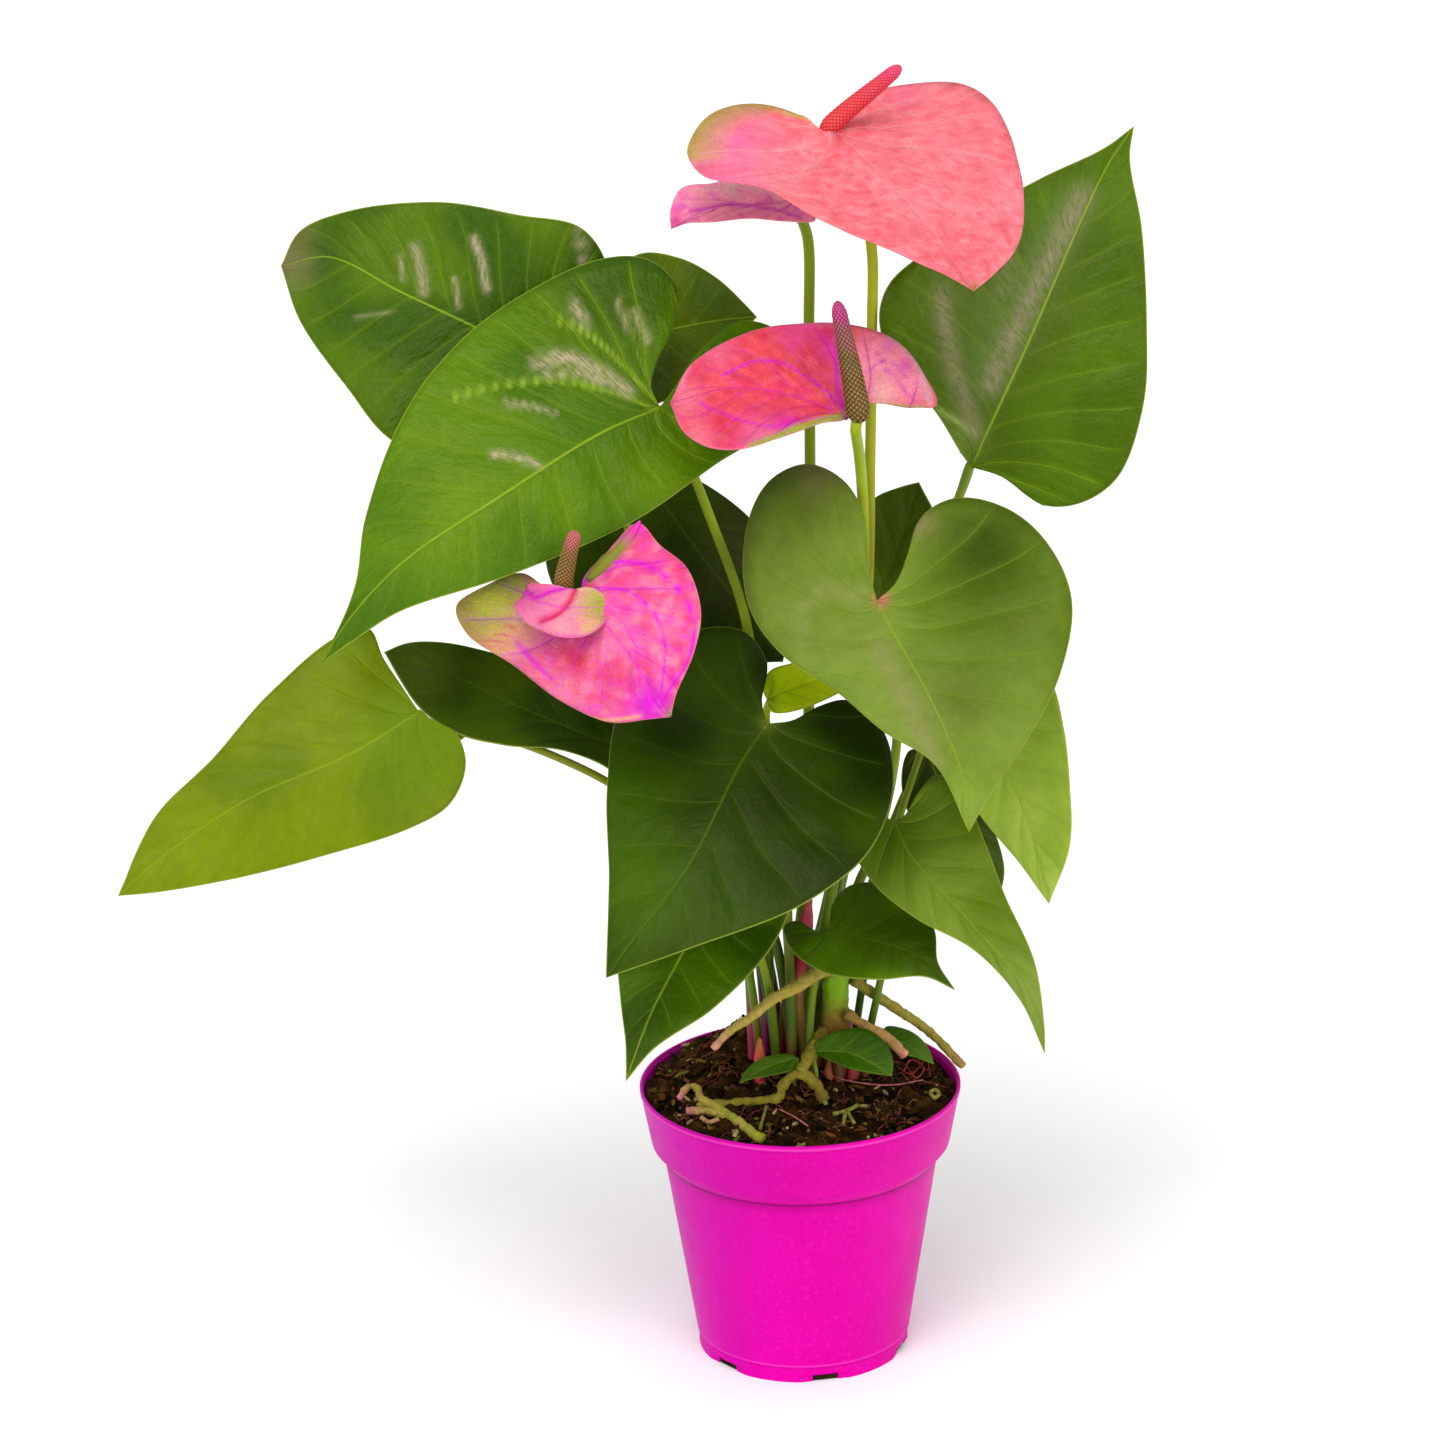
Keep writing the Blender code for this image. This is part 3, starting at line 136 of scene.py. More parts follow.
def seen_direction(across, down):
    """The direction from the viewing point through places in the view."""
    right = np.asarray(across, float) - VIEW_WIDTH / 2
    below = np.asarray(down, float) - VIEW_WIDTH / 2
    level_right = right * math.cos(VIEW_ROLL) - below * math.sin(VIEW_ROLL)
    level_below = right * math.sin(VIEW_ROLL) + below * math.cos(VIEW_ROLL)
    slant = level_right[..., None] * VIEW_RIGHT - level_below[..., None] * VIEW_UP
    return VIEW_FORWARD + slant / VIEW_FOCAL


VIEW_POINT = np.array([0.0, 0.0, POT_HEIGHT]) - unit(seen_direction(*RIM_CENTRE_SEEN)) * VIEW_DISTANCE


def seen(across, down, depth):
    """The places, in millimetres, of guide points."""
    ray = seen_direction(across, down)
    reach = (-np.asarray(depth, float) - VIEW_POINT[1]) / ray[..., 1]
    return VIEW_POINT + ray * reach[..., None]


# A blade. base is the notch where the stalk joins, and side is a third point of its plane. left
# and right are its edges from base to tip, and notch says how many points of each lie along the
# notch. bends are how far it bends along its midrib and across its width, and its edge's wave.
# lobe is the share of the ribs that start at the base, and reach the share of each edge past the
# notch that they cover. ribs and steps are the size of its first grid. foot is where the stalk
# enters the soil, as (X, depth), and route leads from the soil to just behind the base. spadix is
# the guide point of a spadix's tip, with its radii at foot and tip.
Blade = namedtuple("Blade", "base tip side midrib left right bends lobe ribs notch reach steps foot "
                   "radius route spadix spadix_radii", defaults=((1, 1), None, 3) + (None,) * 5)
LEAVES = {
    "leaf_upper_left": Blade(
        (566, 372, -20), (281, 266, -52), (440, 202, -54), [(475, 327), (401, 292), (330, 257)],
        [(572, 392), (560, 425), (520, 452), (455, 458), (391, 440), (348, 389), (300, 321)],
        [(590, 352), (608, 310), (606, 262), (580, 227), (520, 215), (440, 202), (348, 211), (300, 231)],
        (9, 5, 1.6), 0.2, 13,
        foot=(-17.5, 0.0), radius=1.8, route=[(742, 900, -4), (715, 800, -3), (690, 720, -2),
         (650, 600, -3), (612, 480, -12)]),
    "leaf_big_left": Blade(
        (660, 407, 20), (322, 663, 80), (505, 306, -3), [(601, 433), (501, 496), (401, 564), (345, 625)],
        [(651, 385), (658, 360), (674, 324), (675, 285), (650, 260), (606, 258), (530, 290), (455, 346),
         (401, 420), (365, 520), (354, 590)],
        [(674, 388), (700, 350), (741, 321), (780, 333), (793, 372), (772, 425), (715, 465), (636, 520),
         (510, 575), (401, 611), (355, 640)],
        (8, -7, 1.2), 0.22, 14, notch=(4, 3),
        foot=(-11.6, 0.8), radius=2.0, route=[(768, 930, 1), (761, 800, 1), (757, 700, 0), (744, 613, -1),
         (711, 520, 4), (688, 463, 10)]),
    "leaf_back_left": Blade(
        (604, 352, -57), (757, 317, -36), (680, 258, -66), [(655, 334), (710, 322)],
        [(590, 330), (596, 290), (640, 254), (680, 258), (717, 278), (745, 304)],
        [(596, 378), (620, 408), (662, 402), (700, 375), (735, 340)],
        (5, 4, 1.0), 0.2, 9,
        foot=(-7.5, -11.5), radius=1.6, route=[(758, 900, -20), (728, 750, -38), (684, 560, -52),
         (640, 440, -62), (617, 382, -62)]),
    "leaf_yellow_left": Blade(
        (419, 712, 60), (118, 896, 82), (283, 679, 51), [(350, 754), (250, 798), (170, 851)],
        [(404, 690), (383, 658), (369, 629), (335, 638), (269, 694), (213, 758), (154, 819)],
        [(435, 721), (456, 733), (466, 765), (450, 804), (411, 828), (327, 855), (238, 878), (160, 892)],
        (8, -5, 1.3), 0.12, 14, notch=(3, 2),
        foot=(-15.2, 6.2), radius=1.6, route=[(745, 955, 8), (710, 870, 13), (650, 812, 20), (606, 781, 26),
         (542, 751, 26), (500, 737, 26), (470, 731, 25), (459, 737, 28), (451, 742, 34), (441, 737, 45),
         (430, 725, 53)]),
    "leaf_dark_left": Blade(
        (652, 764, 18), (384, 652, 24), (502, 745, 34), [(608, 744), (561, 725), (508, 702), (461, 679)],
        [(668, 778), (655, 796), (628, 788), (606, 767), (560, 750), (502, 745), (460, 735), (420, 708)],
        [(672, 748), (668, 720), (630, 698), (570, 678), (500, 655), (448, 643), (408, 643)],
        (3, 2, 1.2), 0.15, 12,
        foot=(-9.2, 6.6), radius=1.7, route=[(752, 930, 3), (715, 850, 0), (685, 800, 3), (664, 775, 8)]),
    "leaf_right_centre": Blade(
        (877, 601, 50), (969, 832, 104), (749, 516, 28), [(891, 628), (931, 700), (962, 774)],
        [(866, 560), (864, 516), (845, 482), (808, 464), (770, 480), (747, 525), (747, 601), (778, 651),
         (838, 693), (884, 732), (935, 765)],
        [(895, 584), (907, 556), (920, 519), (955, 498), (1006, 508), (1048, 544), (1072, 600), (1060, 675),
         (1026, 742), (992, 791)],
        (9, -8, 1.5), 0.24, 14, notch=(2, 3),
        foot=(6.0, 0.0), radius=1.9, route=[(842, 930, -2.5), (858, 885, 2), (877, 840, 9), (896, 750, 24),
         (896, 680, 34), (886, 632, 39)]),
    "leaf_front_low": Blade(
        (767, 724, 45), (606, 978, 114), (858, 702, 42), [(740, 765), (689, 865), (631, 943)],
        [(762, 702), (767, 664), (745, 632), (706, 628), (655, 655), (618, 712), (607, 790), (609, 880)],
        [(791, 721), (821, 706), (852, 701), (884, 732), (893, 790), (868, 853), (800, 906), (700, 945)],
        (10, -8, 1.4), 0.22, 14, notch=(2, 3),
        foot=(-3.0, 12.2), radius=2.0, route=[(789, 950, 13), (784, 890, 15), (778, 800, 28),
         (770, 742, 36)]),
    "leaf_right_low": Blade(
        (895, 822, 36), (1045, 1054, 92), (977, 826, 40), [(908, 851), (969, 921), (1022, 985)],
        [(880, 815), (862, 822), (853, 845), (871, 881), (915, 918), (975, 951), (1020, 1000)],
        [(905, 815), (917, 794), (937, 775), (962, 792), (986, 845), (1008, 903), (1034, 960),
         (1044, 1023)],
        (7, -5, 1.0), 0.15, 13, notch=(2, 2),
        foot=(24.0, 5.5), radius=1.5, route=[(878, 992, 7), (889, 940, 9), (895, 885, 13), (897, 843, 26)]),
    "leaf_far_right": Blade(
        (952, 655, 8), (1049, 904, 42), (1064, 760, 27), [(985, 730), (1024, 812)],
        [(940, 668), (936, 705), (948, 755), (980, 815), (1020, 864)],
        [(968, 642), (1010, 648), (1050, 680), (1064, 730), (1070, 790), (1070, 845)],
        (6, 4, 1.5), 0.15, 12,
        foot=(20.2, -0.6), radius=1.5, route=[(872, 930, 0), (893, 840, -2), (925, 740, -3),
         (945, 683, 0)]),
    "leaf_behind_right_low": Blade(
        (925, 748, -23), (1001, 893, -3), (992, 831, -14), [(948, 800), (978, 850)],
        [(908, 752), (902, 790), (925, 845), (965, 878)],
        [(945, 742), (975, 768), (991, 820), (1004, 868)],
        (4, -2, 0.8), 0.15, 9,
        foot=(13.4, -4.0), radius=1.4, route=[(858, 930, -10), (882, 850, -20), (908, 785, -29),
         (920, 762, -29)]),
    "leaf_low_front": Blade(
        (722, 878, 40), (626, 1081, 94), (788, 917, 53), [(698, 925), (651, 1014)],
        [(705, 862), (668, 866), (634, 892), (618, 935), (620, 998), (626, 1045)],
        [(742, 862), (775, 870), (790, 900), (771, 948), (714, 1008), (655, 1048)],
        (5, -4, 1.2), 0.2, 12,
        foot=(-9.0, 12.8), radius=1.7, route=[(768, 985, 18), (752, 935, 25), (735, 900, 31)]),
    "leaf_low_right": Blade(
        (822, 934, 29), (955, 990, 58), (846, 977, 44), [(871, 940), (920, 957)],
        [(812, 929), (797, 921), (784, 926), (790, 948), (820, 971), (875, 980), (925, 977)],
        [(829, 925), (833, 903), (850, 886), (885, 884), (918, 900), (935, 931), (938, 962)],
        (4, -1, 1.2), 0.15, 12, notch=(2, 2),
        foot=(3.2, 13.6), radius=1.6, route=[(812, 1000, 12), (816, 975, 10.5), (822, 950, 17)]),
    "leaf_upper_right": Blade(
        (971, 467, -5), (1134, 126, -54), (1147, 327, -30), [(986, 435), (1029, 341), (1080, 223),
         (1108, 165)],
        [(960, 452), (934, 410), (897, 372), (879, 320), (889, 284), (930, 248), (980, 212), (1043, 177),
         (1104, 148)],
        [(1002, 477), (1043, 505), (1081, 503), (1118, 477), (1144, 403), (1147, 327), (1142, 229),
         (1130, 158)],
        (8, 7, 1.3), 0.15, 14, notch=(1, 2), reach=(0.03, 0.15),
        foot=(6.6, -10.2), radius=1.9, route=[(838, 900, -18), (868, 780, -24), (915, 610, -22),
         (945, 530, -17), (961, 492, -13)]),
    "leaf_behind_big_left": Blade(
        (655, 490, -33), (783, 662, -10), (556, 590, -23), [(690, 540), (740, 605)],
        [(640, 474), (598, 474), (556, 510), (545, 556), (565, 605), (640, 645), (720, 662)],
        [(675, 470), (702, 482), (748, 516), (780, 560), (792, 615)],
        (6, 4, 1.3), 0.2, 12,
        foot=(-12.6, -5.4), radius=1.7, route=[(752, 900, -12), (720, 750, -28), (688, 600, -41),
         (665, 522, -44)]),
    "leaf_behind_centre": Blade(
        (872, 645, -36), (919, 482, -48), (850, 560, -44), [(882, 590), (903, 530)],
        [(852, 640), (838, 600), (848, 545), (872, 500), (900, 487)],
        [(895, 650), (932, 630), (950, 580), (940, 525)],
        (4, 4, 0.8), 0.15, 9,
        foot=(-0.4, -11.4), radius=1.5, route=[(826, 900, -24), (850, 780, -38), (866, 690, -46),
         (871, 662, -44)]),
    "leaf_young": Blade(
        (767, 700, 15), (868, 672, 24), (800, 709, 22), [(808, 684), (840, 676)],
        [(772, 712), (800, 709), (836, 694), (857, 681)],
        [(763, 688), (770, 671), (792, 663), (826, 655), (852, 658)],
        (3, 3, 0.4), 0.12, 8,
        foot=(-6.2, 0.6), radius=1.5, route=[(789, 930, 2), (781, 820, 5), (769, 740, 7), (766, 715, 9)]),
    "leaf_small_right": Blade(
        (815, 1052, 20), (892, 1076, 32), (846, 1029, 16), [(850, 1053)],
        [(813, 1046), (828, 1035), (846, 1029), (867, 1029), (884, 1041), (893, 1060)],
        [(822, 1057), (852, 1069), (875, 1074)],
        (2, 2, 0.4), 0.1, 5, reach=(0.1, 0.04), steps=2,
        foot=(5.6, 19.2), radius=0.9, route=[(814, 1062, 18.6)]),
    "leaf_small_left": Blade(
        (797, 1058, 21), (739, 1083, 30), (763, 1058, 21), [(770, 1066)],
        [(793, 1069), (772, 1075), (751, 1079)],
        [(790, 1054), (778, 1054), (760, 1059), (747, 1069)],
        (1, 1, 0.3), 0.1, 6, steps=2,
        foot=(-2.6, 20.0), radius=0.9, route=[(799, 1066, 19.6)]),
    "leaf_small_back": Blade(
        (882, 1036, 2), (934, 1064, 10), (905, 1031, -2), [(905, 1044)],
        [(886, 1027), (905, 1029), (920, 1038), (930, 1052)],
        [(886, 1045), (905, 1054), (921, 1059)],
        (1, 1, 0.3), 0.1, 6, steps=2,
        foot=(28.0, 0.0), radius=0.9, route=[(880, 1046, 0)]),
}

# The blooms' spathes, with the stalks and the spadices that they sit on
BLOOMS = {
    "bloom_top": Blade(
        (835, 131, 2), (974, 291, 80), (687, 150, 20), [(868, 160), (925, 222)],
        [(825, 132), (815, 125), (796, 114), (747, 104), (705, 119), (687, 153), (704, 176), (761, 187),
         (816, 218), (882, 247), (938, 271)],
        [(842, 127), (847, 114), (867, 94), (917, 83), (958, 84), (991, 102), (1012, 140), (1024, 200),
         (1018, 245), (991, 277)],
        (4, -5, 1.4), 0.3, 14, notch=(3, 3), spadix=(901, 66, 4), spadix_radii=(3.7, 2.6),
        foot=(0.6, -5.2), radius=2.0, route=[(830, 930, -9), (852, 760, -11), (868, 585, -12),
         (870, 470, -12), (872, 330, -10), (871, 243, -7), (853, 175, -4)]),
    "bloom_back": Blade(
        (800, 199, -28), (671, 229, 8), (785, 222, -14), [(770, 204), (715, 207)],
        [(803, 208), (813, 214), (815, 221), (785, 221), (751, 218), (716, 222), (688, 223)],
        [(803, 187), (815, 182), (836, 176), (838, 160), (805, 152), (755, 163), (715, 183), (681, 189),
         (670, 212)],
        (3, -3, 1.0), 0.2, 11, notch=(2, 2), spadix=(850, 128, -48), spadix_radii=(3.3, 2.3),
        foot=(-5.4, -5.8), radius=2.1, route=[(803, 900, -12), (808, 750, -22), (810, 600, -30),
         (810, 450, -34), (809, 325, -37), (808, 240, -37)]),
    "bloom_middle": Blade(
        (848, 418, 38), (670, 403, 46), (813, 323, 3), [(800, 398), (735, 388)],
        [(840, 421), (823, 423), (785, 436), (740, 449), (706, 446), (682, 429)],
        [(856, 411), (866, 404), (882, 404), (905, 407), (937, 405), (925, 377), (896, 341), (849, 325),
         (792, 324), (739, 336), (692, 364)],
        (3, 4, 0.9), 0.2, 14, notch=(1, 5), reach=(0.06, 0.3), spadix=(837, 301, 42),
         spadix_radii=(4.5, 2.8),
        foot=(0.1, 0.2), radius=2.1, route=[(824, 930, -1.5), (846, 800, 3), (860, 640, 6), (864, 560, 7),
         (863, 505, 4), (860, 462, 16)]),
    "bloom_low_left": Blade(
        (571, 594, 66), (671, 717, 90), (461, 603, 56), [(600, 618), (645, 678)],
        [(561, 603), (550, 596), (539, 583), (522, 573), (485, 586), (457, 606), (468, 635), (513, 665),
         (561, 701), (610, 722), (650, 719)],
        [(580, 592), (584, 578), (606, 553), (638, 523), (660, 545), (687, 568), (701, 611), (694, 653),
         (676, 695)],
        (5, -7, 1.5), 0.2, 14, notch=(3, 4), spadix=(575, 531, 70), spadix_radii=(3.5, 2.5),
        foot=(-3.4, 6.2), radius=1.9, route=[(775, 940, 9), (742, 870, 14), (690, 775, 20), (648, 708, 16),
         (622, 671, 23), (602, 640, 40)]),
}

# The front flap of the low bloom, which curls over the foot of its spadix
LOW_BLOOM_FLAP = Blade(
    (522, 597, 60), (610, 607, 72), (559, 637, 74), [(560, 607)],
    [(528, 585), (548, 584), (572, 588), (592, 588), (605, 597)],
    [(515, 606), (525, 622), (542, 631), (560, 637), (585, 636), (604, 624)],
    (9, 1, 0.4), 0.1, 9)

# Crown: the thick short stem, as (height, radius) up its axis
CROWN_PLACE = (13.5, 7.0)
CROWN_PROFILE = [(124.5, 5.2), (130.5, 5.8), (135.5, 5.4), (137.5, 4.7), (146.5, 4.9), (154.5, 4.7),
                 (162.5, 4.4), (167.5, 2.6)]

# A new shoot in its bract, and a pointed sheath at the soil
SHOOT_FOOT = (1.4, 7.8)
SHOOT_ROUTE = [(798, 985, 8), (802, 955, 9.5), (806, 925, 11.5), (808, 908, 13), (810, 888, 14)]
SHOOT_RADII = [1.7, 1.7, 1.9, 2.8, 3.2, 2.4, 0.5]
SHEATH_FOOT = (-14.9, 13.0)
SHEATH_PROFILE = [(5.0, 2.3), (10.0, 2.1), (15.0, 1.2), (18.0, 0.4)]

# Aerial roots: their guide points, radii at both ends, and colours at the start, middle and end
ROOTS = {
    "root_left": (
        [(833, 968, 13.0), (824, 970, 20.1), (812, 976, 22.4), (800, 985, 22.6), (775, 998, 23),
         (751, 1017, 24), (729, 1032, 22), (714, 1048, 20)],
        (2.8, 1.3), ((160, 150, 50), (206, 184, 84), (250, 170, 140))),
    "root_right": (
        [(853, 980, 7), (874, 994, 2.5), (895, 1008, -2), (926, 1029, -8), (945, 1047, -9),
         (963, 1066, -9)],
        (2.1, 1.6), ((150, 140, 50), (170, 158, 60), (190, 150, 80))),
    "root_cut": (
        [(846, 1013, 12.9), (865, 1026, 15), (886, 1037, 13), (905, 1055, 12)],
        (2.0, 1.9), ((160, 130, 60), (206, 160, 92), (250, 160, 140))),
}

# Roots that lie on the soil, by where they are seen, with their radii at both ends
ROOT_FORK = [
    [(763, 1139), (756, 1136), (747, 1128), (735, 1119), (718, 1113), (702, 1111), (686, 1111)],
    [(737, 1120), (729, 1115), (713, 1105), (700, 1097), (698, 1089), (691, 1086), (684, 1091),
     (680, 1099)],
]
ROOT_FORK_RADII = [(1.9, 1.5), (1.6, 1.2)]
ROOT_FORK_LIFT = 2.9
ROOT_ARCH = [(699, 1106), (716, 1104), (729, 1103), (754, 1101), (777, 1098)]
ROOT_ARCH_RISE = [(785, 1082, 24), (800, 1074, 25), (814, 1082, 25.5)]
ROOT_ARCH_END = (825, 1101)
ROOT_ARCH_LINK = [(799, 1076, 25), (806, 1062, 22), (815, 1046, 16), (824, 1030, 10)]
ROOT_ARCH_RADII = [(1.2, 2.3), (2.2, 2.7)]
ROOT_ARCH_LIFT = 2.4


def step_lengths(points):
    """The lengths of a polyline's steps."""
    return np.linalg.norm(np.diff(points, axis=0), axis=1)


def smooth_curve(points, per_piece=12):
    """A dense polyline along a smooth curve through the points."""
    points = np.array(points, float)
    steps = step_lengths(points) ** 0.5
    chord = np.diff(points, axis=0) / steps[:, None]
    before, after = steps[:-1, None], steps[1:, None]
    inner = (chord[:-1] * after + chord[1:] * before) / (before + after)
    slopes = np.concatenate([chord[:1], inner, chord[-1:]])
    t = (np.arange(per_piece) / per_piece)[:, None]
    dense = []
    for i, step in enumerate(steps):
        start = (2 * t ** 3 - 3 * t ** 2 + 1) * points[i] + (t ** 3 - 2 * t ** 2 + t) * step * slopes[i]
        end = (3 * t ** 2 - 2 * t ** 3) * points[i + 1] + (t ** 3 - t ** 2) * step * slopes[i + 1]
        dense.append(start + end)
    return np.concatenate([*dense, points[-1:]])


def measured(points):
    """A smooth curve through the points, and the length along it up to each of its places."""
    dense = smooth_curve(points)
    return dense, np.append(0, np.cumsum(step_lengths(dense)))


def curve_at(points, shares):
    """Points at the given shares of the length of a smooth curve through the points."""
    dense, lengths = measured(points)
    wanted = np.array(shares) * lengths[-1]
    return np.stack([np.interp(wanted, lengths, column) for column in dense.T], axis=1)


def evened(grid, rounds):
    """Spreads a grid's inner points so that its lines don't fold over one another."""
    for _ in range(rounds):
        along = (grid[2:, 1:-1] - grid[:-2, 1:-1]) / 2
        out = (grid[1:-1, 2:] - grid[1:-1, :-2]) / 2
        mixed = (grid[2:, 2:] - grid[:-2, 2:] - grid[2:, :-2] + grid[:-2, :-2]) / 4
        a = (out ** 2).sum(axis=-1, keepdims=True)
        b = (along * out).sum(axis=-1, keepdims=True)
        c = (along ** 2).sum(axis=-1, keepdims=True)
        moved = a * (grid[2:, 1:-1] + grid[:-2, 1:-1]) + c * (grid[1:-1, 2:] + grid[1:-1, :-2])
        grid[1:-1, 1:-1] = (moved - 2 * b * mixed) / (2 * (a + c) + 1e-12)


def resampled(grid, ribs, steps):
    """A grid read at a finer spacing."""
    rows = np.linspace(0, grid.shape[0] - 1, ribs + 1)
    columns = np.linspace(0, grid.shape[1] - 1, steps + 1)
    i = np.minimum(rows.astype(int), grid.shape[0] - 2)
    j = np.minimum(columns.astype(int), grid.shape[1] - 2)
    u = (rows - i)[:, None, None]
    v = (columns - j)[None, :, None]
    low = grid[i][:, j] * (1 - v) + grid[i][:, j + 1] * v
    high = grid[i + 1][:, j] * (1 - v) + grid[i + 1][:, j + 1] * v
    return low * (1 - u) + high * u


def half_grid(plan, edge_points, notch_points, reach):
    """One half of a blade in the view, as [rib][step] from midrib to edge."""
    base, tip, lobe = plan.base[:2], plan.tip[:2], plan.lobe
    line = [base, *edge_points, tip]
    dense, lengths = measured(line)
    # The share of the edge's length that lies along the notch
    nearest = np.linalg.norm(dense - np.array(line[notch_points], float), axis=1).argmin()
    first = lengths[nearest] / lengths[-1]
    right_length = step_lengths(smooth_curve([base, *plan.right, tip])).sum()
    fine_ribs = 2 * int(np.clip(right_length / RIB_SPACING, FEWEST_RIBS / 2, MOST_RIBS / 2))
    fine_steps = 2 * max(4, fine_ribs // 8)
    side = None
    # Each grid is a finer one, evened out in so many rounds.
    for ribs, steps, rounds in ((plan.ribs, plan.steps, 150), (fine_ribs // 2, fine_steps // 2, 120),
                                (fine_ribs, fine_steps, 60)):
        shares = np.linspace(0, 1, ribs + 1)
        across = np.linspace(0, 1, steps + 1)
        feet = np.clip((shares - lobe) / (1 - lobe), 0, 1) ** 1.15
        midrib = curve_at([base, *plan.midrib, tip], feet)
        edge = curve_at(line, first + (1 - first) * np.interp(shares, [0, lobe, 1], [0, reach, 1]))
        if side is None:
            side = midrib[:, None] + across[:, None] * (edge - midrib)[:, None]
        else:
            side = resampled(side, ribs, steps)
            side[:, 0] = midrib
            side[:, -1] = edge
        side[0] = curve_at(line, across * first)
        side[-1] = edge[-1]
        evened(side, rounds)
    return side


def blade_depths(plan, halves):
    """The middle surface of a blade in space, as [side][rib][step]."""
    base, tip, side = (np.array(point, float) for point in (plan.base, plan.tip, plan.side))
    rows = np.array([(tip - base)[:2], (side - base)[:2]])
    slope = np.linalg.solve(rows, np.array([tip[2] - base[2], side[2] - base[2]]))
    axis = (tip - base)[:2]
    arch, fold, wave = plan.bends
    widths = [np.linalg.norm(half[:, -1] - half[:, 0], axis=1) for half in halves]
    widest = max(width.max() for width in widths)
    places = []
    for number, (half, width) in enumerate(zip(halves, widths)):
        share = np.linspace(0, 1, half.shape[0])[:, None]
        w = np.linspace(0, 1, half.shape[1])[None, :]
        width = (width / widest)[:, None]
        s = (half - base[:2]) @ axis / (axis @ axis)
        depth = plan.base[2] + (half - base[:2]) @ slope
        depth = depth + arch * 4 * s * np.where(s > 0, 1 - s, LOBE_BEND) + fold * width * w ** 1.4
        phase = EDGE_WAVES * share + 0.37 * number
        depth = depth + wave * np.sin(2 * math.pi * phase) * w ** 2 * width
        places.append(seen(half[..., 0], half[..., 1], depth))
    return places


def grid_normals(grid):
    """The directions across a grid of places, on the side that faces the view."""
    along = np.gradient(grid, axis=0)
    # Where ribs share a point, their direction comes from the next point out.
    flat = np.linalg.norm(along[:, 0], axis=-1) < 1e-6
    along[:, 0][flat] = along[:, 1][flat]
    normal = unit(np.cross(along, np.gradient(grid, axis=1)))
    return -normal if (normal @ VIEW_FORWARD).mean() > 0 else normal


def rough(places, scale, seed=0.0):
    """Smooth noise at places, for features about scale millimetres wide."""
    flat = places.reshape(-1, 3) / scale + seed
    return np.array([noise.noise(Vector(p)) for p in flat]).reshape(places.shape[:-1])


def smoothstep(low, high, x):
    """0 up to low, 1 from high on, and smooth between them."""
    t = np.clip((x - low) / (high - low), 0, 1)
    return t * t * (3 - 2 * t)


def bell(x):
    """1 at zero, falling off to both sides."""
    return np.exp(-x ** 2)


def skin(colour):
    """The skin's own linear colour, from how it looks on a screen under the studio light."""
    c = np.asarray(colour, float) / 255
    linear = np.where(c <= 0.04045, c / 12.92, ((c + 0.055) / 1.055) ** 2.4)
    return np.maximum(linear - GLOSS_LIFT, 0.0004) / LIGHT_GAIN


def toward(paint, colour, share):
    """A paint that has gone a share of its way to a screen colour."""
    share = np.asarray(share)[..., None]
    return paint + (skin(colour) - paint) * share


def placed(name, data):
    """A new object in the scene."""
    thing = bpy.data.objects.new(name, data)
    bpy.context.scene.collection.objects.link(thing)
    return thing


class Shape:
    """Vertices, faces, paint and flow that are gathered into one piece."""

    def __init__(self):
        self.vertices, self.faces, self.paint, self.flow, self.slots = [], [], [], [], []

    def add(self, vertices, faces, paint, flow=(0, 0, 0, 0), slots=0):
        start = sum(len(v) for v in self.vertices)
        count = len(vertices)
        self.vertices.append(np.asarray(vertices, float))
        self.faces += [tuple(k + start for k in face) for face in faces]
        paint = np.broadcast_to(np.asarray(paint, float), (count, np.shape(paint)[-1]))
        if paint.shape[1] == 3:
            paint = np.concatenate([paint, np.ones((count, 1))], axis=1)
        self.paint.append(paint)
        self.flow.append(np.broadcast_to(np.asarray(flow, float), (count, 4)))
        self.slots += [slots] * len(faces) if isinstance(slots, int) else slots

    def piece(self, name, materials, slot, node=None):
        """The shape as a mesh object on the body, in the place of a node of the frame if one is named."""
        mesh = bpy.data.meshes.new(name)
        mesh.from_pydata((np.concatenate(self.vertices) * MM).tolist(), [], self.faces)
        for material in materials:
            mesh.materials.append(material)
        mesh.polygons.foreach_set("material_index", self.slots)
        for layer, values in (("paint", self.paint), ("flow", self.flow)):
            attribute = mesh.attributes.new(layer, "FLOAT_COLOR", "POINT")
            attribute.data.foreach_set("color", np.concatenate(values).astype(np.float32).ravel())
        mesh.polygons.foreach_set("use_smooth", [True] * len(mesh.polygons))
        piece = placed(name, mesh)
        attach(piece, "root")
        if node:
            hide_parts(node)


def line_gap(half, points):
    """How far each point of a half is from a line through guide points, in the view's units."""
    curve = smooth_curve(points, 5)
    gap = np.full(half.shape[:-1], 1e9)
    for a, b in zip(curve, curve[1:]):
        step = b - a
        along = np.clip((half - a) @ step / max(step @ step, 1e-9), 0, 1)
        gap = np.minimum(gap, np.linalg.norm(half - a - along[..., None] * step, axis=-1))
    return gap


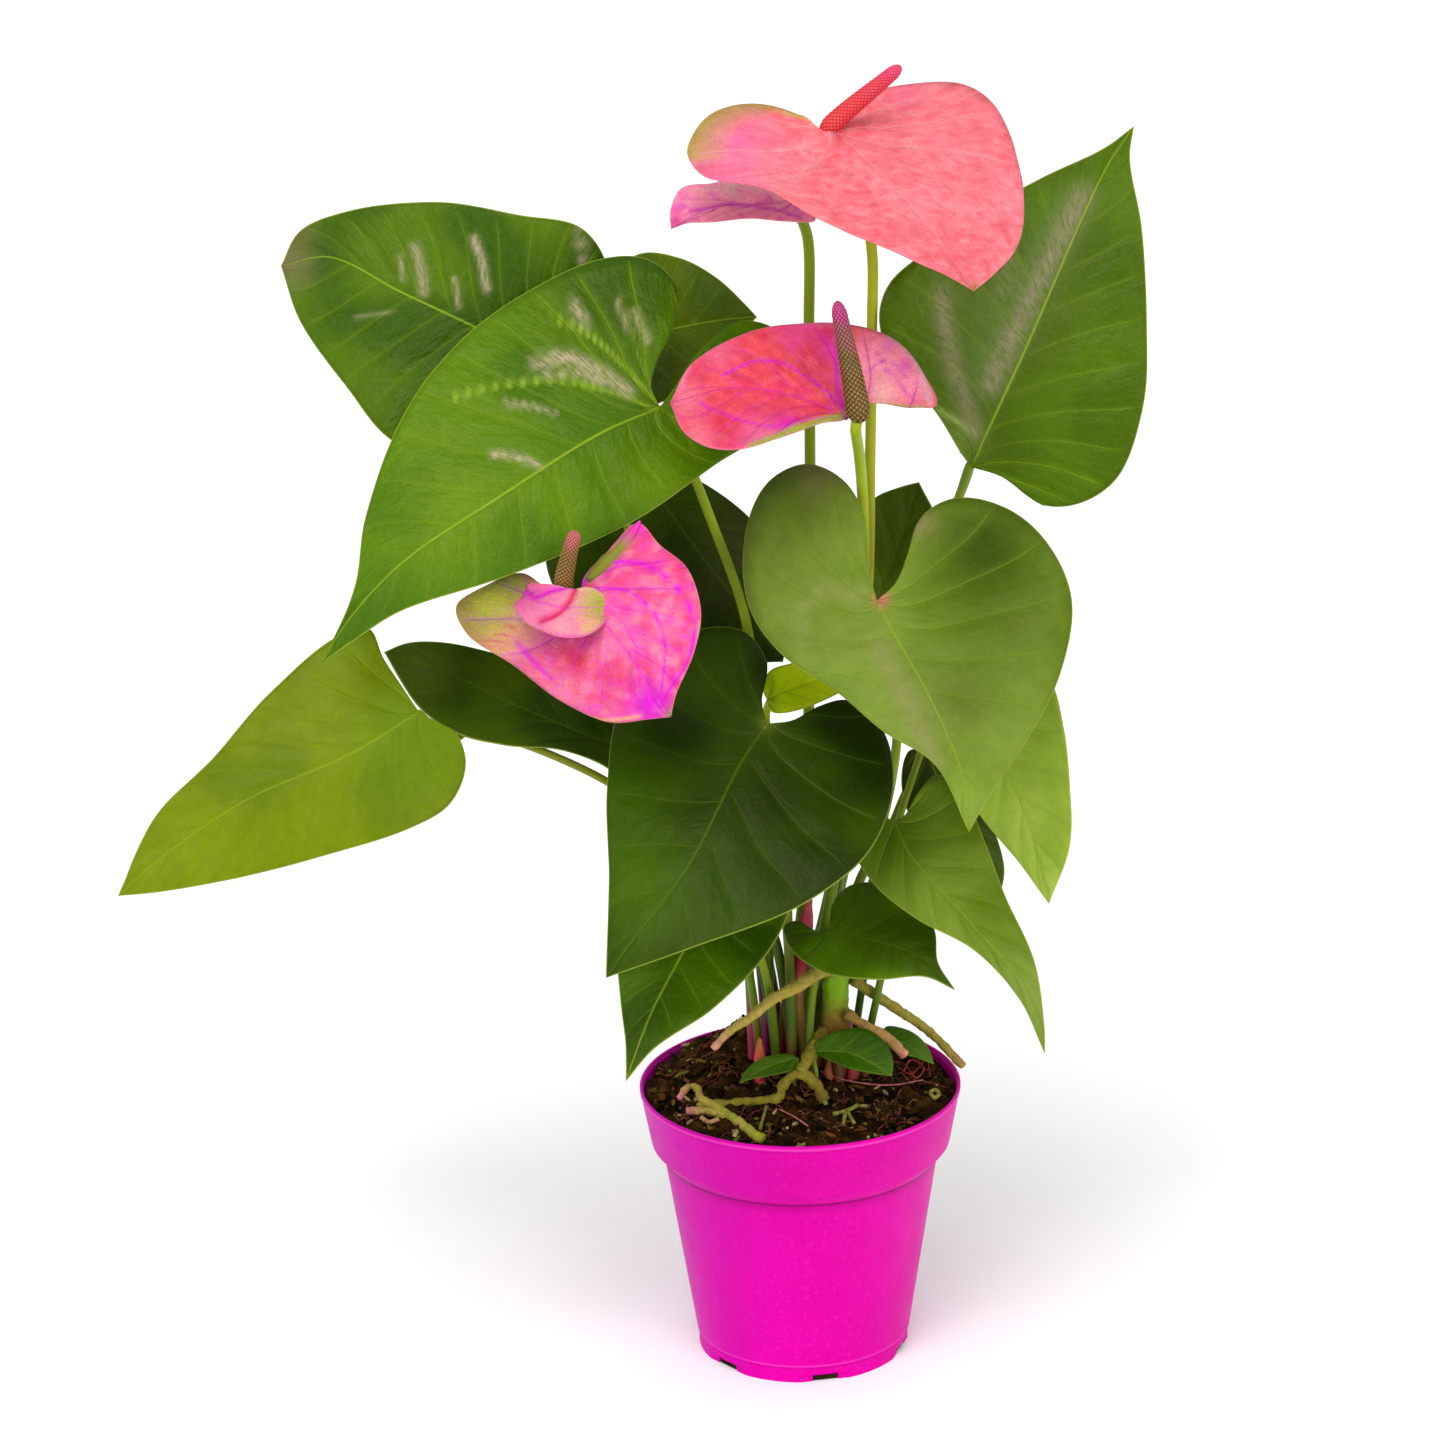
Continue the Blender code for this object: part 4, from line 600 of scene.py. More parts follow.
def tinted(half, place, look):
    """The paint of a blade's half: two mingled colours, mottled patches, tinted spots and lines, some
    painted light.
    """
    light, dark = look["colours"]
    paint = toward(skin(dark), light, smoothstep(-0.35, 0.35, rough(place, 26.0, 3.7)))
    for number, (colour, size, share) in enumerate(look["patches"]):
        weight = smoothstep(0.0, 0.35, rough(place, size, 11.3 * number + 5.1))
        paint = toward(paint, colour, weight * share)
    for across, down, radius, colour, strength in look["spots"]:
        far = np.linalg.norm(half - np.array([across, down]), axis=-1)
        paint = toward(paint, colour, strength * bell(far / radius))
    for points, width, colour, strength, *_ in look["lines"]:
        paint = toward(paint, colour, strength * bell(line_gap(half, points) / width))
    return paint


def add_blade(shape, plan, look):
    """Adds a fine blade to a shape. Returns its midrib's places and normals, and its facing there."""
    lobe = plan.lobe
    halves = [half_grid(plan, *half)
              for half in zip((plan.left, plan.right), plan.notch, plan.reach or (lobe, lobe))]
    places = blade_depths(plan, halves)
    normals = [grid_normals(place) for place in places]
    seam = normals[0][:, 0] + normals[1][:, 0]
    # The grid meets in one point at the tip, which has no normal of its own.
    seam[-1] = seam[-2]
    seam = unit(seam)
    ribs, steps = halves[0].shape[0] - 1, halves[0].shape[1] - 1
    share = np.linspace(0, 1, ribs + 1)[:, None]
    w = np.linspace(0, 1, steps + 1)[None, :]
    midrib_share = np.clip((share - lobe) / (1 - lobe), 0, 1)
    veins = look["veins"]
    skins = []
    for number, (half, place, normal) in enumerate(zip(halves, places, normals)):
        normal[:, 0] = seam
        normal[-1] = seam[-1]
        spacing = np.linalg.norm(np.gradient(place, axis=0), axis=-1) * ribs / veins
        out = np.cumsum(np.linalg.norm(np.diff(place, axis=1), axis=-1), axis=1)
        from_midrib = np.concatenate([np.zeros((ribs + 1, 1)), out], axis=1)
        width = from_midrib[:, -1:]
        wide = smoothstep(0.0, 5.0, width)
        # Where each place lies among the veins. A whole number is on a vein.
        line = veins * (share - look["slant"] * w ** 0.85) + VEIN_STAGGER * number
        line = line + 0.15 * rough(place, 30.0, 8.1)
        away = np.abs(line - np.round(line))
        # Relief fades toward the midrib, toward the edge and where the blade is narrow.
        window = smoothstep(0.02, 0.18, w) * (1 - smoothstep(0.8, 1.0, w))
        quilt = np.minimum(spacing * QUILT_SHARE, MOST_QUILT) * look["quilt"]
        relief = quilt * (np.sin(math.pi * away) ** 0.7 - 0.5) * window
        relief = relief + look["crinkle"] * rough(place, 7.0, 1.3) * window
        relief = relief + look["ripple"] * rough(place, 16.0, 5.9) * smoothstep(0.5, 1, w)
        rib = bell(from_midrib / RIB_WIDTH) * (1 - 0.75 * midrib_share)
        relief = (relief - look["groove"] * rib) * wide
        thin_tip = np.minimum(1, (1 - share) * 12 + 0.35)
        thick = (EDGE_HALF_THICKNESS + MIDDLE_ADDS * (1 - w)) * thin_tip
        for points, gap, _, _, *depth in look["lines"]:
            if depth:
                relief = relief - depth[0] * bell(line_gap(half, points) / gap)
        keel = look["keel"] * rib * (1 - 0.7 * midrib_share) * wide
        middle = from_midrib / (1.1 - 0.6 * midrib_share)
        # The veins that leave the base are the strong ones. How strong goes in the paint's alpha.
        vein_foot = (np.round(line) - VEIN_STAGGER * number) / veins
        strong = np.where(vein_foot <= lobe * 1.05, 1.0, look["side_veins"])
        skins.append((
            place + normal * (relief + thick)[..., None],
            place + normal * (relief - thick - keel)[..., None],
            np.concatenate([tinted(half, place, look), strong[..., None]], axis=-1),
            np.stack([line, spacing, middle, width - from_midrib], axis=-1)))
    # Both halves share the midrib, and the ribs of the lobes meet at the base and all at the tip.
    index = np.arange(2 * (ribs + 1) * (steps + 1)).reshape(2, ribs + 1, steps + 1)
    index[1, :, 0] = index[0, :, 0]
    index[:, np.arange(ribs + 1) / ribs <= lobe, 0] = 0
    index[:, -1] = index[0, -1, 0]
    used, index = np.unique(index, return_inverse=True)
    index = index.reshape(2, ribs + 1, steps + 1)
    count = len(used)
    points = []
    for left, right in zip(*skins):
        points.append(np.empty((count, left.shape[-1])))
        points[-1][index[1]] = right
        points[-1][index[0]] = left
    top, bottom, paint, flow = points
    faces = []
    for grid, turn in zip(index, (1, -1)):
        quads = np.stack([grid[:-1, :-1], grid[1:, :-1], grid[1:, 1:], grid[:-1, 1:]], axis=-1)
        for quad in quads.reshape(-1, 4).tolist():
            corners = tuple(dict.fromkeys(quad))
            if len(corners) > 2:
                faces.append(corners[::turn])
    # The top skin's faces turn toward the view, as the normals do.
    away = sum(np.cross(top[b] - top[a], top[c] - top[a]) @ VIEW_FORWARD for a, b, c, *_ in faces[::7])
    flip = away > 0
    if flip:
        faces = [face[::-1] for face in faces]
    edge = [*index[0, 0, :-1], *index[0, :, -1], *index[1, -2::-1, -1], *index[1, 0, -2:0:-1]]
    walls = []
    for a, b in zip(edge, edge[1:] + edge[:1]):
        walls.append((b, a, a + count, b + count) if flip else (a, b, b + count, a + count))
    under = [tuple(k + count for k in face[::-1]) for face in faces]
    shape.add(np.concatenate([top, bottom]), faces + under + walls, np.concatenate([paint, paint]),
              np.concatenate([flow, flow]), [0] * len(faces) + [1] * len(under) + [0] * len(walls))
    first = int(lobe * ribs)
    near = np.linalg.norm(places[0] - places[0][0, 0], axis=-1) < JOINT_REACH
    return places[0][first:, 0], seam[first:], unit(normals[0][near].sum(axis=0))


def add_tube(shape, path, radii, sides, paint, slot=0, bumps=0.0):
    """Adds a closed tube along a path. bumps roughens it, in millimetres."""
    path = np.array(path, float)
    directions = unit(np.gradient(path, axis=0))
    helper = (0.0, 1.0, 0.0) if abs(directions[0][1]) < 0.9 else (1.0, 0.0, 0.0)
    across = np.cross(directions[0], helper)
    angles = 2 * math.pi * np.arange(sides)[:, None] / sides
    rings = []
    for centre, forward, radius in zip(path, directions, np.broadcast_to(radii, len(path))):
        across = unit(across - forward * (across @ forward))
        ring = np.cos(angles) * across + np.sin(angles) * np.cross(forward, across)
        rings.append(centre + ring * radius)
    rings = np.array(rings)
    if bumps:
        push = rough(rings, 2.6, 2.2) + 0.6 * rough(rings, 1.1, 4.0)
        rings = rings + unit(rings - path[:, None]) * (push * bumps)[..., None]
    turns = [(k, (k + 1) % sides) for k in range(sides)]
    last = (len(path) - 1) * sides
    faces = [(i + k, i + n, i + n + sides, i + k + sides) for i in range(0, last, sides) for k, n in turns]
    low, high = last + sides, last + sides + 1
    for k, n in turns:
        faces += [(n, k, low), (last + k, last + n, high)]
    paint = np.asarray(paint, float)
    if paint.ndim == 2:
        paint = np.concatenate([np.repeat(paint, sides, axis=0), paint[:1], paint[-1:]])
    shape.add(np.concatenate([rings.reshape(-1, 3), path[:1], path[-1:]]), faces, paint, slots=slot)
    return rings


def look(light, dark, veins=6, patches=(), spots=(), lines=(), **relief):
    """How a blade looks. relief is what differs from the other leaves or spathes.

    A patch is (colour, size, share), a spot (across, down, radius, colour, strength) and a
    line (guide points, half width, colour, strength and, for a crease, its depth in millimetres).
    """
    return {"colours": (light, dark), "veins": veins, "patches": patches, "spots": spots, "lines": lines,
            **relief}


LEAF_RELIEF = {"slant": 0.1, "quilt": 1.0, "crinkle": 0.2, "ripple": 0.5, "keel": 0.9, "groove": 0.35,
               "side_veins": 0.45}
SPATHE_RELIEF = {"slant": 0.3, "quilt": 0.8, "crinkle": 0.55, "ripple": 0.7, "keel": 0.5, "groove": 0.5,
                 "side_veins": 0.5}
# A painted highlight: the pale colour of the gloss streaks laid into the leaves' paint
GLINT = (210, 184, 160)
MAGENTA = (226, 0, 212)
LEAF_LOOKS = {
    "leaf_upper_left": look(
        (80, 114, 4), (54, 90, 2), 12,
        # The two spots by the tip are painted highlights, as are the GLINT lines.
        spots=[(288, 262, 24, (150, 124, 100), 0.7), (300, 228, 16, (120, 110, 60), 0.6)],
        lines=[([(415, 248), (421, 270), (424, 292)], 5.0, GLINT, 0.55),
         ([(474, 238), (482, 262), (487, 289)], 3.6, GLINT, 0.8),
         ([(455, 279), (459, 307)], 2.4, GLINT, 0.6), ([(579, 229), (583, 262)], 4.0, GLINT, 0.5),
         ([(400, 256), (404, 280)], 2.2, GLINT, 0.5), ([(356, 318), (392, 312)], 2.0, GLINT, 0.3)]),
    "leaf_big_left": look(
        (90, 128, 4), (70, 110, 2), 12,
        spots=[(620, 290, 80, (54, 84, 4), 0.85), (690, 400, 40, (90, 120, 14), 0.6),
         (390, 590, 34, (66, 108, 4), 0.7), (650, 480, 40, (104, 134, 20), 0.6),
         (450, 500, 60, (110, 146, 10), 0.5)],
        lines=[([(658, 404), (616, 359), (579, 328), (551, 319)], 2.0, (150, 180, 50), 0.9, 1.0),
         ([(656, 409), (604, 390), (561, 381), (511, 384), (455, 397)], 2.0, (150, 180, 50), 0.9, 1.0),
         ([(660, 402), (641, 365), (632, 328), (622, 298)], 1.6, (120, 150, 40), 0.7, 0.6),
         ([(668, 414), (682, 432), (697, 452)], 1.6, (120, 150, 40), 0.6, 0.5),
         ([(536, 364), (567, 358), (598, 371), (628, 392)], 6.0, GLINT, 0.8),
         ([(546, 376), (580, 374), (604, 384)], 3.0, GLINT, 0.6),
         ([(573, 304), (586, 323)], 4.4, GLINT, 0.7), ([(635, 313), (648, 342)], 3.6, GLINT, 0.6),
         ([(616, 300), (628, 330)], 2.4, GLINT, 0.5),
         ([(505, 404), (530, 407), (555, 414)], 2.4, GLINT, 0.6),
         ([(492, 455), (516, 457), (540, 467)], 3.0, GLINT, 0.8)]),
    "leaf_back_left": look((96, 118, 8), (70, 96, 4), 7),
    "leaf_yellow_left": look(
        (116, 136, 3), (100, 122, 2), 8, side_veins=0.25,
        spots=[(150, 870, 60, (134, 152, 20), 0.6), (420, 740, 60, (96, 130, 2), 0.7)]),
    "leaf_dark_left": look(
        (70, 92, 12), (44, 66, 4), 8,
        spots=[(425, 668, 34, (96, 112, 34), 0.7)]),
    "leaf_right_centre": look(
        (124, 146, 54), (108, 132, 38), 8,
        # The greyish spots in (150, 132, 96) and the two broad pale lines are painted sheen.
        spots=[(1010, 610, 80, (78, 106, 10), 0.85), (985, 550, 50, (48, 74, 4), 0.9),
         (960, 700, 40, (84, 100, 26), 0.7), (1020, 620, 30, (96, 112, 36), 0.6),
         (800, 500, 40, (96, 120, 34), 0.6), (881, 600, 7, (230, 100, 120), 0.9),
         (966, 800, 30, (140, 164, 60), 0.7), (816, 476, 20, (150, 132, 96), 0.6),
         (922, 525, 14, (150, 132, 96), 0.6)],
        lines=[([(880, 650), (910, 705), (934, 760)], 12.0, (150, 146, 92), 0.5),
         ([(860, 596), (830, 590), (806, 606), (800, 640)], 10.0, (150, 160, 90), 0.5)]),
    "leaf_front_low": look(
        (52, 76, 5), (36, 54, 3), 8,
        spots=[(640, 880, 60, (72, 104, 10), 0.85), (610, 800, 40, (62, 98, 6), 0.7),
         (730, 885, 46, (46, 74, 4), 0.7), (767, 724, 9, (120, 130, 40), 0.8),
         (850, 720, 40, (36, 50, 4), 0.6), (770, 800, 60, (30, 42, 4), 0.8)]),
    "leaf_right_low": look(
        (122, 148, 44), (100, 128, 24), 8,
        spots=[(1025, 1000, 50, (136, 154, 70), 0.7), (905, 840, 36, (84, 112, 12), 0.8)]),
    "leaf_far_right": look((172, 194, 80), (152, 180, 58), 7),
    "leaf_behind_right_low": look((70, 88, 20), (48, 66, 10), 6),
    "leaf_low_front": look((72, 108, 6), (50, 82, 3), 8),
    "leaf_low_right": look((90, 128, 10), (66, 94, 8), 7),
    "leaf_upper_right": look(
        (80, 112, 8), (70, 100, 4), 10,
        spots=[(960, 440, 26, (120, 140, 60), 0.6), (1000, 310, 60, (104, 124, 50), 0.5)],
        # The greyish lines in (160, 144, 120) and (140, 136, 96) are painted sheen.
        lines=[([(932, 405), (950, 417), (974, 433)], 3.0, (170, 190, 100), 0.8),
         ([(934, 410), (946, 436), (965, 459)], 3.0, (150, 170, 80), 0.7),
         ([(1064, 214), (1034, 268), (1006, 318), (986, 372)], 22.0, (96, 128, 54), 0.6),
         ([(1082, 196), (1058, 242), (1036, 286), (1014, 332), (990, 384)], 12.0, (160, 144, 120), 0.72),
         ([(941, 294), (946, 330), (954, 368), (966, 406), (974, 432)], 9.0, (160, 144, 120), 0.66),
         ([(1010, 262), (1002, 290)], 8.0, (140, 136, 96), 0.5)]),
    "leaf_behind_big_left": look(
        (62, 84, 12), (38, 58, 6), 8,
        spots=[(760, 560, 50, (110, 104, 70), 0.5)]),
    "leaf_behind_centre": look((104, 124, 26), (76, 98, 18), 6),
    # The young leaf's colours run above 255: painted light that lifts a leaf lying in shade.
    "leaf_young": look((240, 264, 24), (222, 250, 14), 6, quilt=0.5),
    "leaf_small_right": look((64, 104, 12), (44, 84, 6), 5, quilt=0.4, keel=0.3),
    "leaf_small_left": look((70, 106, 22), (50, 86, 12), 4, quilt=0.4, keel=0.3),
    "leaf_small_back": look((86, 128, 30), (60, 100, 14), 4, quilt=0.4, keel=0.3),
}
SPATHE_LOOKS = {
    "bloom_top": look(
        (252, 136, 150), (251, 118, 132), crinkle=1.0,
        patches=[((240, 70, 92), 3.4, 0.4), ((255, 166, 172), 3.0, 0.4), ((240, 84, 104), 9.0, 0.25)],
        spots=[(735, 145, 34, (248, 112, 176), 0.75), (704, 150, 16, (240, 80, 190), 0.6),
         (720, 168, 12, (240, 80, 190), 0.5), (1003, 226, 9, (236, 60, 80), 0.6),
         (978, 166, 8, (240, 80, 96), 0.6), (860, 128, 10, (236, 40, 80), 0.5),
         (905, 95, 14, (248, 100, 150), 0.6), (840, 133, 6, (220, 30, 50), 0.9),
         (974, 288, 5, (214, 130, 60), 0.9)],
        lines=[([(687, 163), (690, 140), (708, 116), (735, 105), (761, 105), (793, 115), (822, 122)], 3.2,
         (196, 184, 66), 0.9), ([(690, 172), (712, 181), (760, 186)], 2.6, (240, 90, 170), 0.6)]),
    # Colours above 255 paint this spathe lighter than its own pink, painted light that lifts a spathe lying
    # in shade.
    "bloom_back": look(
        (280, 160, 196), (276, 124, 180),
        patches=[((250, 40, 200), 5.0, 0.5), ((280, 180, 180), 4.0, 0.5)],
        spots=[(730, 188, 10, (255, 200, 190), 0.8), (676, 222, 8, (236, 40, 160), 0.8)],
        lines=[([(700, 192), (730, 188), (760, 190), (790, 198)], 3.0, (255, 190, 180), 0.6),
         ([(690, 212), (730, 205), (780, 212), (800, 218)], 2.0, (226, 20, 200), 0.7)]),
    "bloom_middle": look(
        (240, 78, 84), (228, 54, 66),
        patches=[((248, 110, 120), 3.4, 0.4), ((214, 26, 46), 5.0, 0.45), ((236, 40, 150), 6.0, 0.25)],
        spots=[(684, 400, 20, (250, 126, 146), 0.9), (716, 350, 22, (246, 116, 150), 0.7),
         (760, 440, 24, (246, 116, 160), 0.9), (700, 440, 16, (252, 130, 150), 0.8),
         (800, 326, 20, (246, 90, 170), 0.7), (830, 350, 12, (226, 20, 190), 0.6),
         # The pale spots over the right lobe, some above 255, are painted light that lifts a lobe lying in
         # shade.
         (788, 430, 14, (230, 30, 210), 0.6), (880, 366, 34, (284, 180, 200), 1.0),
         (915, 385, 22, (284, 170, 200), 1.0), (882, 396, 14, (284, 220, 210), 0.8),
         (905, 366, 7, (236, 40, 220), 0.6), (890, 345, 8, (240, 60, 210), 0.6)],
        lines=[([(848, 415), (825, 391), (804, 376), (783, 365), (762, 361), (741, 367), (722, 376)], 1.3,
         MAGENTA, 0.85),
         ([(848, 417), (808, 420), (779, 427), (749, 423), (716, 412), (699, 403)], 1.2, MAGENTA, 0.7),
         ([(846, 414), (838, 392), (836, 366), (838, 345)], 3.0, MAGENTA, 0.7),
         ([(848, 418), (812, 428), (784, 437), (752, 443)], 2.2, (232, 20, 220), 0.6), ([(680, 392),
         (690, 362), (712, 342), (745, 328), (790, 321), (830, 324)], 3.0, (252, 140, 176), 0.7),
         ([(888, 338), (908, 352), (922, 376), (930, 402)], 3.4, (255, 200, 206), 0.9),
         ([(876, 352), (890, 376), (912, 398)], 1.6, MAGENTA, 0.6),
         ([(868, 372), (884, 362), (906, 380)], 1.6, MAGENTA, 0.5),
         ([(842, 417), (818, 423), (795, 430), (770, 440), (752, 447)], 4.4, (160, 184, 40), 1.0),
         ([(878, 407), (905, 408), (932, 411)], 2.6, (160, 170, 60), 1.0)]),
    "bloom_low_left": look(
        (242, 104, 152), (238, 80, 138),
        patches=[((232, 44, 92), 4.5, 0.5), ((255, 156, 170), 4.0, 0.45), ((236, 20, 200), 6.0, 0.3)],
        # The yellow-green spot on the left lobe is its own colour, painted lighter to offset the lobe's
        # shade.
        spots=[(484, 606, 46, (206, 222, 16), 1.0), (512, 582, 20, (150, 176, 16), 0.9),
         (498, 608, 8, (236, 220, 120), 0.6), (506, 640, 14, (236, 170, 120), 0.6),
         (577, 660, 15, (230, 40, 56), 0.9), (622, 676, 13, (230, 50, 80), 0.7),
         (650, 702, 20, (228, 10, 220), 0.9), (560, 695, 24, (255, 150, 160), 0.6),
         (612, 640, 20, (250, 130, 170), 0.5), (671, 715, 5, (180, 190, 80), 1.0),
         (638, 528, 9, (238, 40, 190), 0.9)],
        lines=[([(588, 576), (602, 564), (616, 552), (628, 536)], 8.0, (130, 130, 34), 1.0), ([(582, 584),
         (598, 568), (624, 562), (646, 565), (668, 579), (685, 598), (694, 622), (692, 647), (683, 670),
         (668, 692), (661, 706)], 1.6, MAGENTA, 1.0), ([(596, 588), (624, 590), (643, 601), (657, 618),
         (664, 636), (665, 658), (661, 692)], 1.3, MAGENTA, 0.9),
         ([(604, 606), (622, 622), (636, 648), (640, 680)], 1.6, (236, 20, 190), 0.6),
         ([(515, 622), (519, 640), (532, 660), (552, 680)], 1.8, MAGENTA, 0.8),
         ([(488, 599), (480, 618), (491, 644)], 1.4, (170, 120, 60), 0.7),
         ([(515, 624), (500, 640), (484, 646)], 1.6, (226, 60, 90), 0.7),
         ([(701, 622), (696, 660), (674, 706)], 2.2, (240, 190, 130), 0.7),
         ([(640, 716), (600, 720), (550, 700), (500, 660), (474, 636)], 2.0, (236, 200, 110), 0.7)]),
}
FLAP_LOOK = SPATHE_RELIEF | look(
    (253, 146, 180), (248, 108, 160), 4, quilt=0.1, side_veins=0.05,
    spots=[(600, 603, 25, (176, 184, 20), 1.0), (590, 630, 10, (236, 196, 110), 0.8),
     (560, 628, 12, (255, 176, 170), 0.7)],
    lines=[([(576, 585), (554, 590), (534, 597), (524, 589)], 2.6, MAGENTA, 0.9, 1.0),
     ([(575, 588), (569, 601), (556, 614), (540, 621)], 3.2, (232, 24, 90), 1.0, 1.4),
     ([(519, 621), (536, 632), (562, 638), (588, 636), (606, 624)], 1.8, (232, 20, 190), 0.8),
     ([(580, 588), (598, 590), (608, 604)], 2.0, (226, 220, 130), 0.7)])


class Nodes:
    """A short way to write a material's nodes."""

    def __init__(self, name):
        self.material = bpy.data.materials.new(name)
        self.material.use_nodes = True
        self.tree = self.material.node_tree
        self.shader = self.tree.nodes["Principled BSDF"]
        self.place = self.tree.nodes.new("ShaderNodeTexCoord").outputs["Object"]

    def node(self, kind, values, **settings):
        node = self.tree.nodes.new(kind)
        for key, value in settings.items():
            setattr(node, key, value)
        for key, value in values.items():
            self.put(node.inputs[key], value)
        return node

    def put(self, socket, value):
        if isinstance(value, bpy.types.NodeSocket):
            self.tree.links.new(value, socket)
        else:
            socket.default_value = value

    def layer(self, name):
        """A layer of colours that the mesh holds."""
        return self.node("ShaderNodeAttribute", {}, attribute_name=name).outputs

    def math(self, operation, a, b=0.0, c=0.0):
        return self.node("ShaderNodeMath", {0: a, 1: b, 2: c}, operation=operation).outputs[0]

    def times(self, a, b):
        return self.math("MULTIPLY", a, b)

    def mix(self, share, a, b, blend="MIX"):
        a, b = ((*x, 1.0) if isinstance(x, (tuple, np.ndarray)) else x for x in (a, b))
        values = {0: share, 6: a, 7: b}
        return self.node("ShaderNodeMix", values, data_type="RGBA", blend_type=blend).outputs[2]

    def lay(self, colour, where, strength, other):
        """Another colour over a colour, as strongly as where times strength."""
        return self.mix(self.times(where, strength), colour, other)

    def noise(self, size, detail=3.0, low=0.3, high=0.7):
        """Noise with features about size millimetres wide, spread from 0 to 1."""
        values = {"Vector": self.place, "Scale": 1000 / size, "Detail": detail}
        return self.spread(self.node("ShaderNodeTexNoise", values).outputs["Fac"], low, high)

    def streaks(self, along, across, detail):
        """Noise over two values."""
        where = self.node("ShaderNodeCombineXYZ", {"X": along, "Y": across, "Z": 0.0}).outputs[0]
        values = {"Vector": where, "Scale": 1.0, "Detail": detail}
        return self.node("ShaderNodeTexNoise", values).outputs["Fac"]

    def spread(self, value, low, high, first=0.0, last=1.0):
        values = {"Value": value, "From Min": low, "From Max": high, "To Min": first, "To Max": last}
        return self.node("ShaderNodeMapRange", values).outputs[0]

    def bell(self, value, width):
        """1 at zero, falling off over a width."""
        scaled = self.math("DIVIDE", value, width)
        return self.math("EXPONENT", self.times(self.times(scaled, scaled), -1.0))

    def cells(self, size):
        """How far each place is from the edge of a cell about size millimetres wide."""
        values = {"Vector": self.place, "Scale": 1000 / size}
        return self.node("ShaderNodeTexVoronoi", values, feature="DISTANCE_TO_EDGE").outputs["Distance"]

    def finish(self, colour, roughness, height, **plain):
        """Links colour, roughness and a height in millimetres. Plain values go straight on the shader."""
        bump = self.node("ShaderNodeBump", {"Height": height, "Distance": MM})
        for key, value in (("Base Color", colour), ("Roughness", roughness), ("Normal", bump.outputs[0])):
            self.put(self.shader.inputs[key], value)
        for key, value in plain.items():
            self.shader.inputs[key.replace("_", " ")].default_value = value
        return self.material


# What a blade's skin is drawn with, in millimetres: the half widths of its lines, and the cells
# of its net with the share of a cell that their lines take
VEIN_LINE = 0.36
BORDER_LINE = 1.7
RIM_LINE = 0.32
MIDRIB_LINE = 0.5
NET_CELL = 2.6
NET_LINE = 0.06
# What a skin's own colour is multiplied by in its deeper patches
LEAF_DEEPENS = (0.5, 0.55, 0.4)
STALK_DEEPENS = (0.35, 0.35, 0.3)
# The green that shows between the broken pieces of the painted highlights
WRINKLE_GREEN = (78, 112, 8)
LEAF_GLOSS_TINT = (1.0, 0.84, 0.6, 1.0)
POT_GLOSS_TINT = (1.0, 0.25, 0.8, 1.0)


def blade_material(name, back, vein, rim, middle, gloss, weights, relief=1.0, stipple=None, shine=0.17,
                   gleams=False):
    """The skin of a blade, with its veins, rim and midrib.

    weights says how much of their own colour the veins, the rim, the midrib, the veins'
    borders and the fine net have.
    """
    n = Nodes(name)
    paint, flow = n.layer("paint"), n.layer("flow")
    line, spacing, middle_gap = n.node("ShaderNodeSeparateColor", {"Color": flow["Color"]}).outputs
    away = n.times(n.math("PINGPONG", line, 0.5), spacing)
    inside = n.times(n.spread(flow["Alpha"], 0.5, 7.0), paint["Alpha"])
    veins = n.times(n.bell(away, VEIN_LINE), inside)
    border = n.times(n.bell(away, BORDER_LINE), inside)
    net = n.bell(n.cells(NET_CELL), NET_LINE)
    streaks = n.streaks(n.times(line, 4.5), n.times(middle_gap, 0.11), 4.0)
    deep = n.mix(1.0, paint["Color"], LEAF_DEEPENS, "MULTIPLY")
    colour = n.lay(paint["Color"], n.noise(5.0, 5.0), 0.22, deep)
    colour = n.lay(colour, n.spread(streaks, 0.45, 0.75), 0.25, deep)
    grain = n.noise(0.8, 3.0, 0.48, 0.66)
    if gleams:
        # Pale painted highlights in the paint, told by their blue, are broken up by wrinkles that run along
        # the veins.
        blue = n.node("ShaderNodeSeparateColor", {"Color": paint["Color"]}).outputs[2]
        breaks = n.streaks(n.times(line, 15.0), n.times(middle_gap, 0.2), 3.0)
        broken = n.times(n.spread(blue, 0.01, 0.04, 0.0, 0.65), n.spread(breaks, 0.47, 0.6))
        colour = n.mix(broken, colour, skin(WRINKLE_GREEN))
    if stipple is None:
        colour = n.lay(colour, grain, 0.16, deep)
    else:
        colour = n.lay(colour, grain, 0.4, n.mix(1.0, colour, stipple, "MULTIPLY"))
    if back is not None:
        colour = n.mix(0.6, colour, skin(back))
    tinted_vein = n.mix(0.55, colour, skin(vein))
    for where, weight, tone in (
            (border, weights[3], tinted_vein), (net, weights[4], tinted_vein),
            (veins, weights[0], skin(vein)), (n.bell(flow["Alpha"], RIM_LINE), weights[1], skin(rim)),
            (n.bell(middle_gap, MIDRIB_LINE), weights[2], skin(middle))):
        colour = n.lay(colour, where, weight, tone)
    # Veins stand out of a back and lie sunken in a face.
    sign = -0.25 if back is None else 0.25
    height = n.times(veins, sign)
    for where, rise in ((net, sign * 0.12), (streaks, 0.5 * relief), (n.noise(0.9, 3.0), 0.03),
                        (n.noise(3.6, 3.0), 0.08 * relief)):
        height = n.math("MULTIPLY_ADD", where, rise, height)
    return n.finish(colour, n.spread(n.noise(6.0, 4.0), 0.0, 1.0, *gloss), height,
                    Specular_IOR_Level=shine, Specular_Tint=LEAF_GLOSS_TINT)


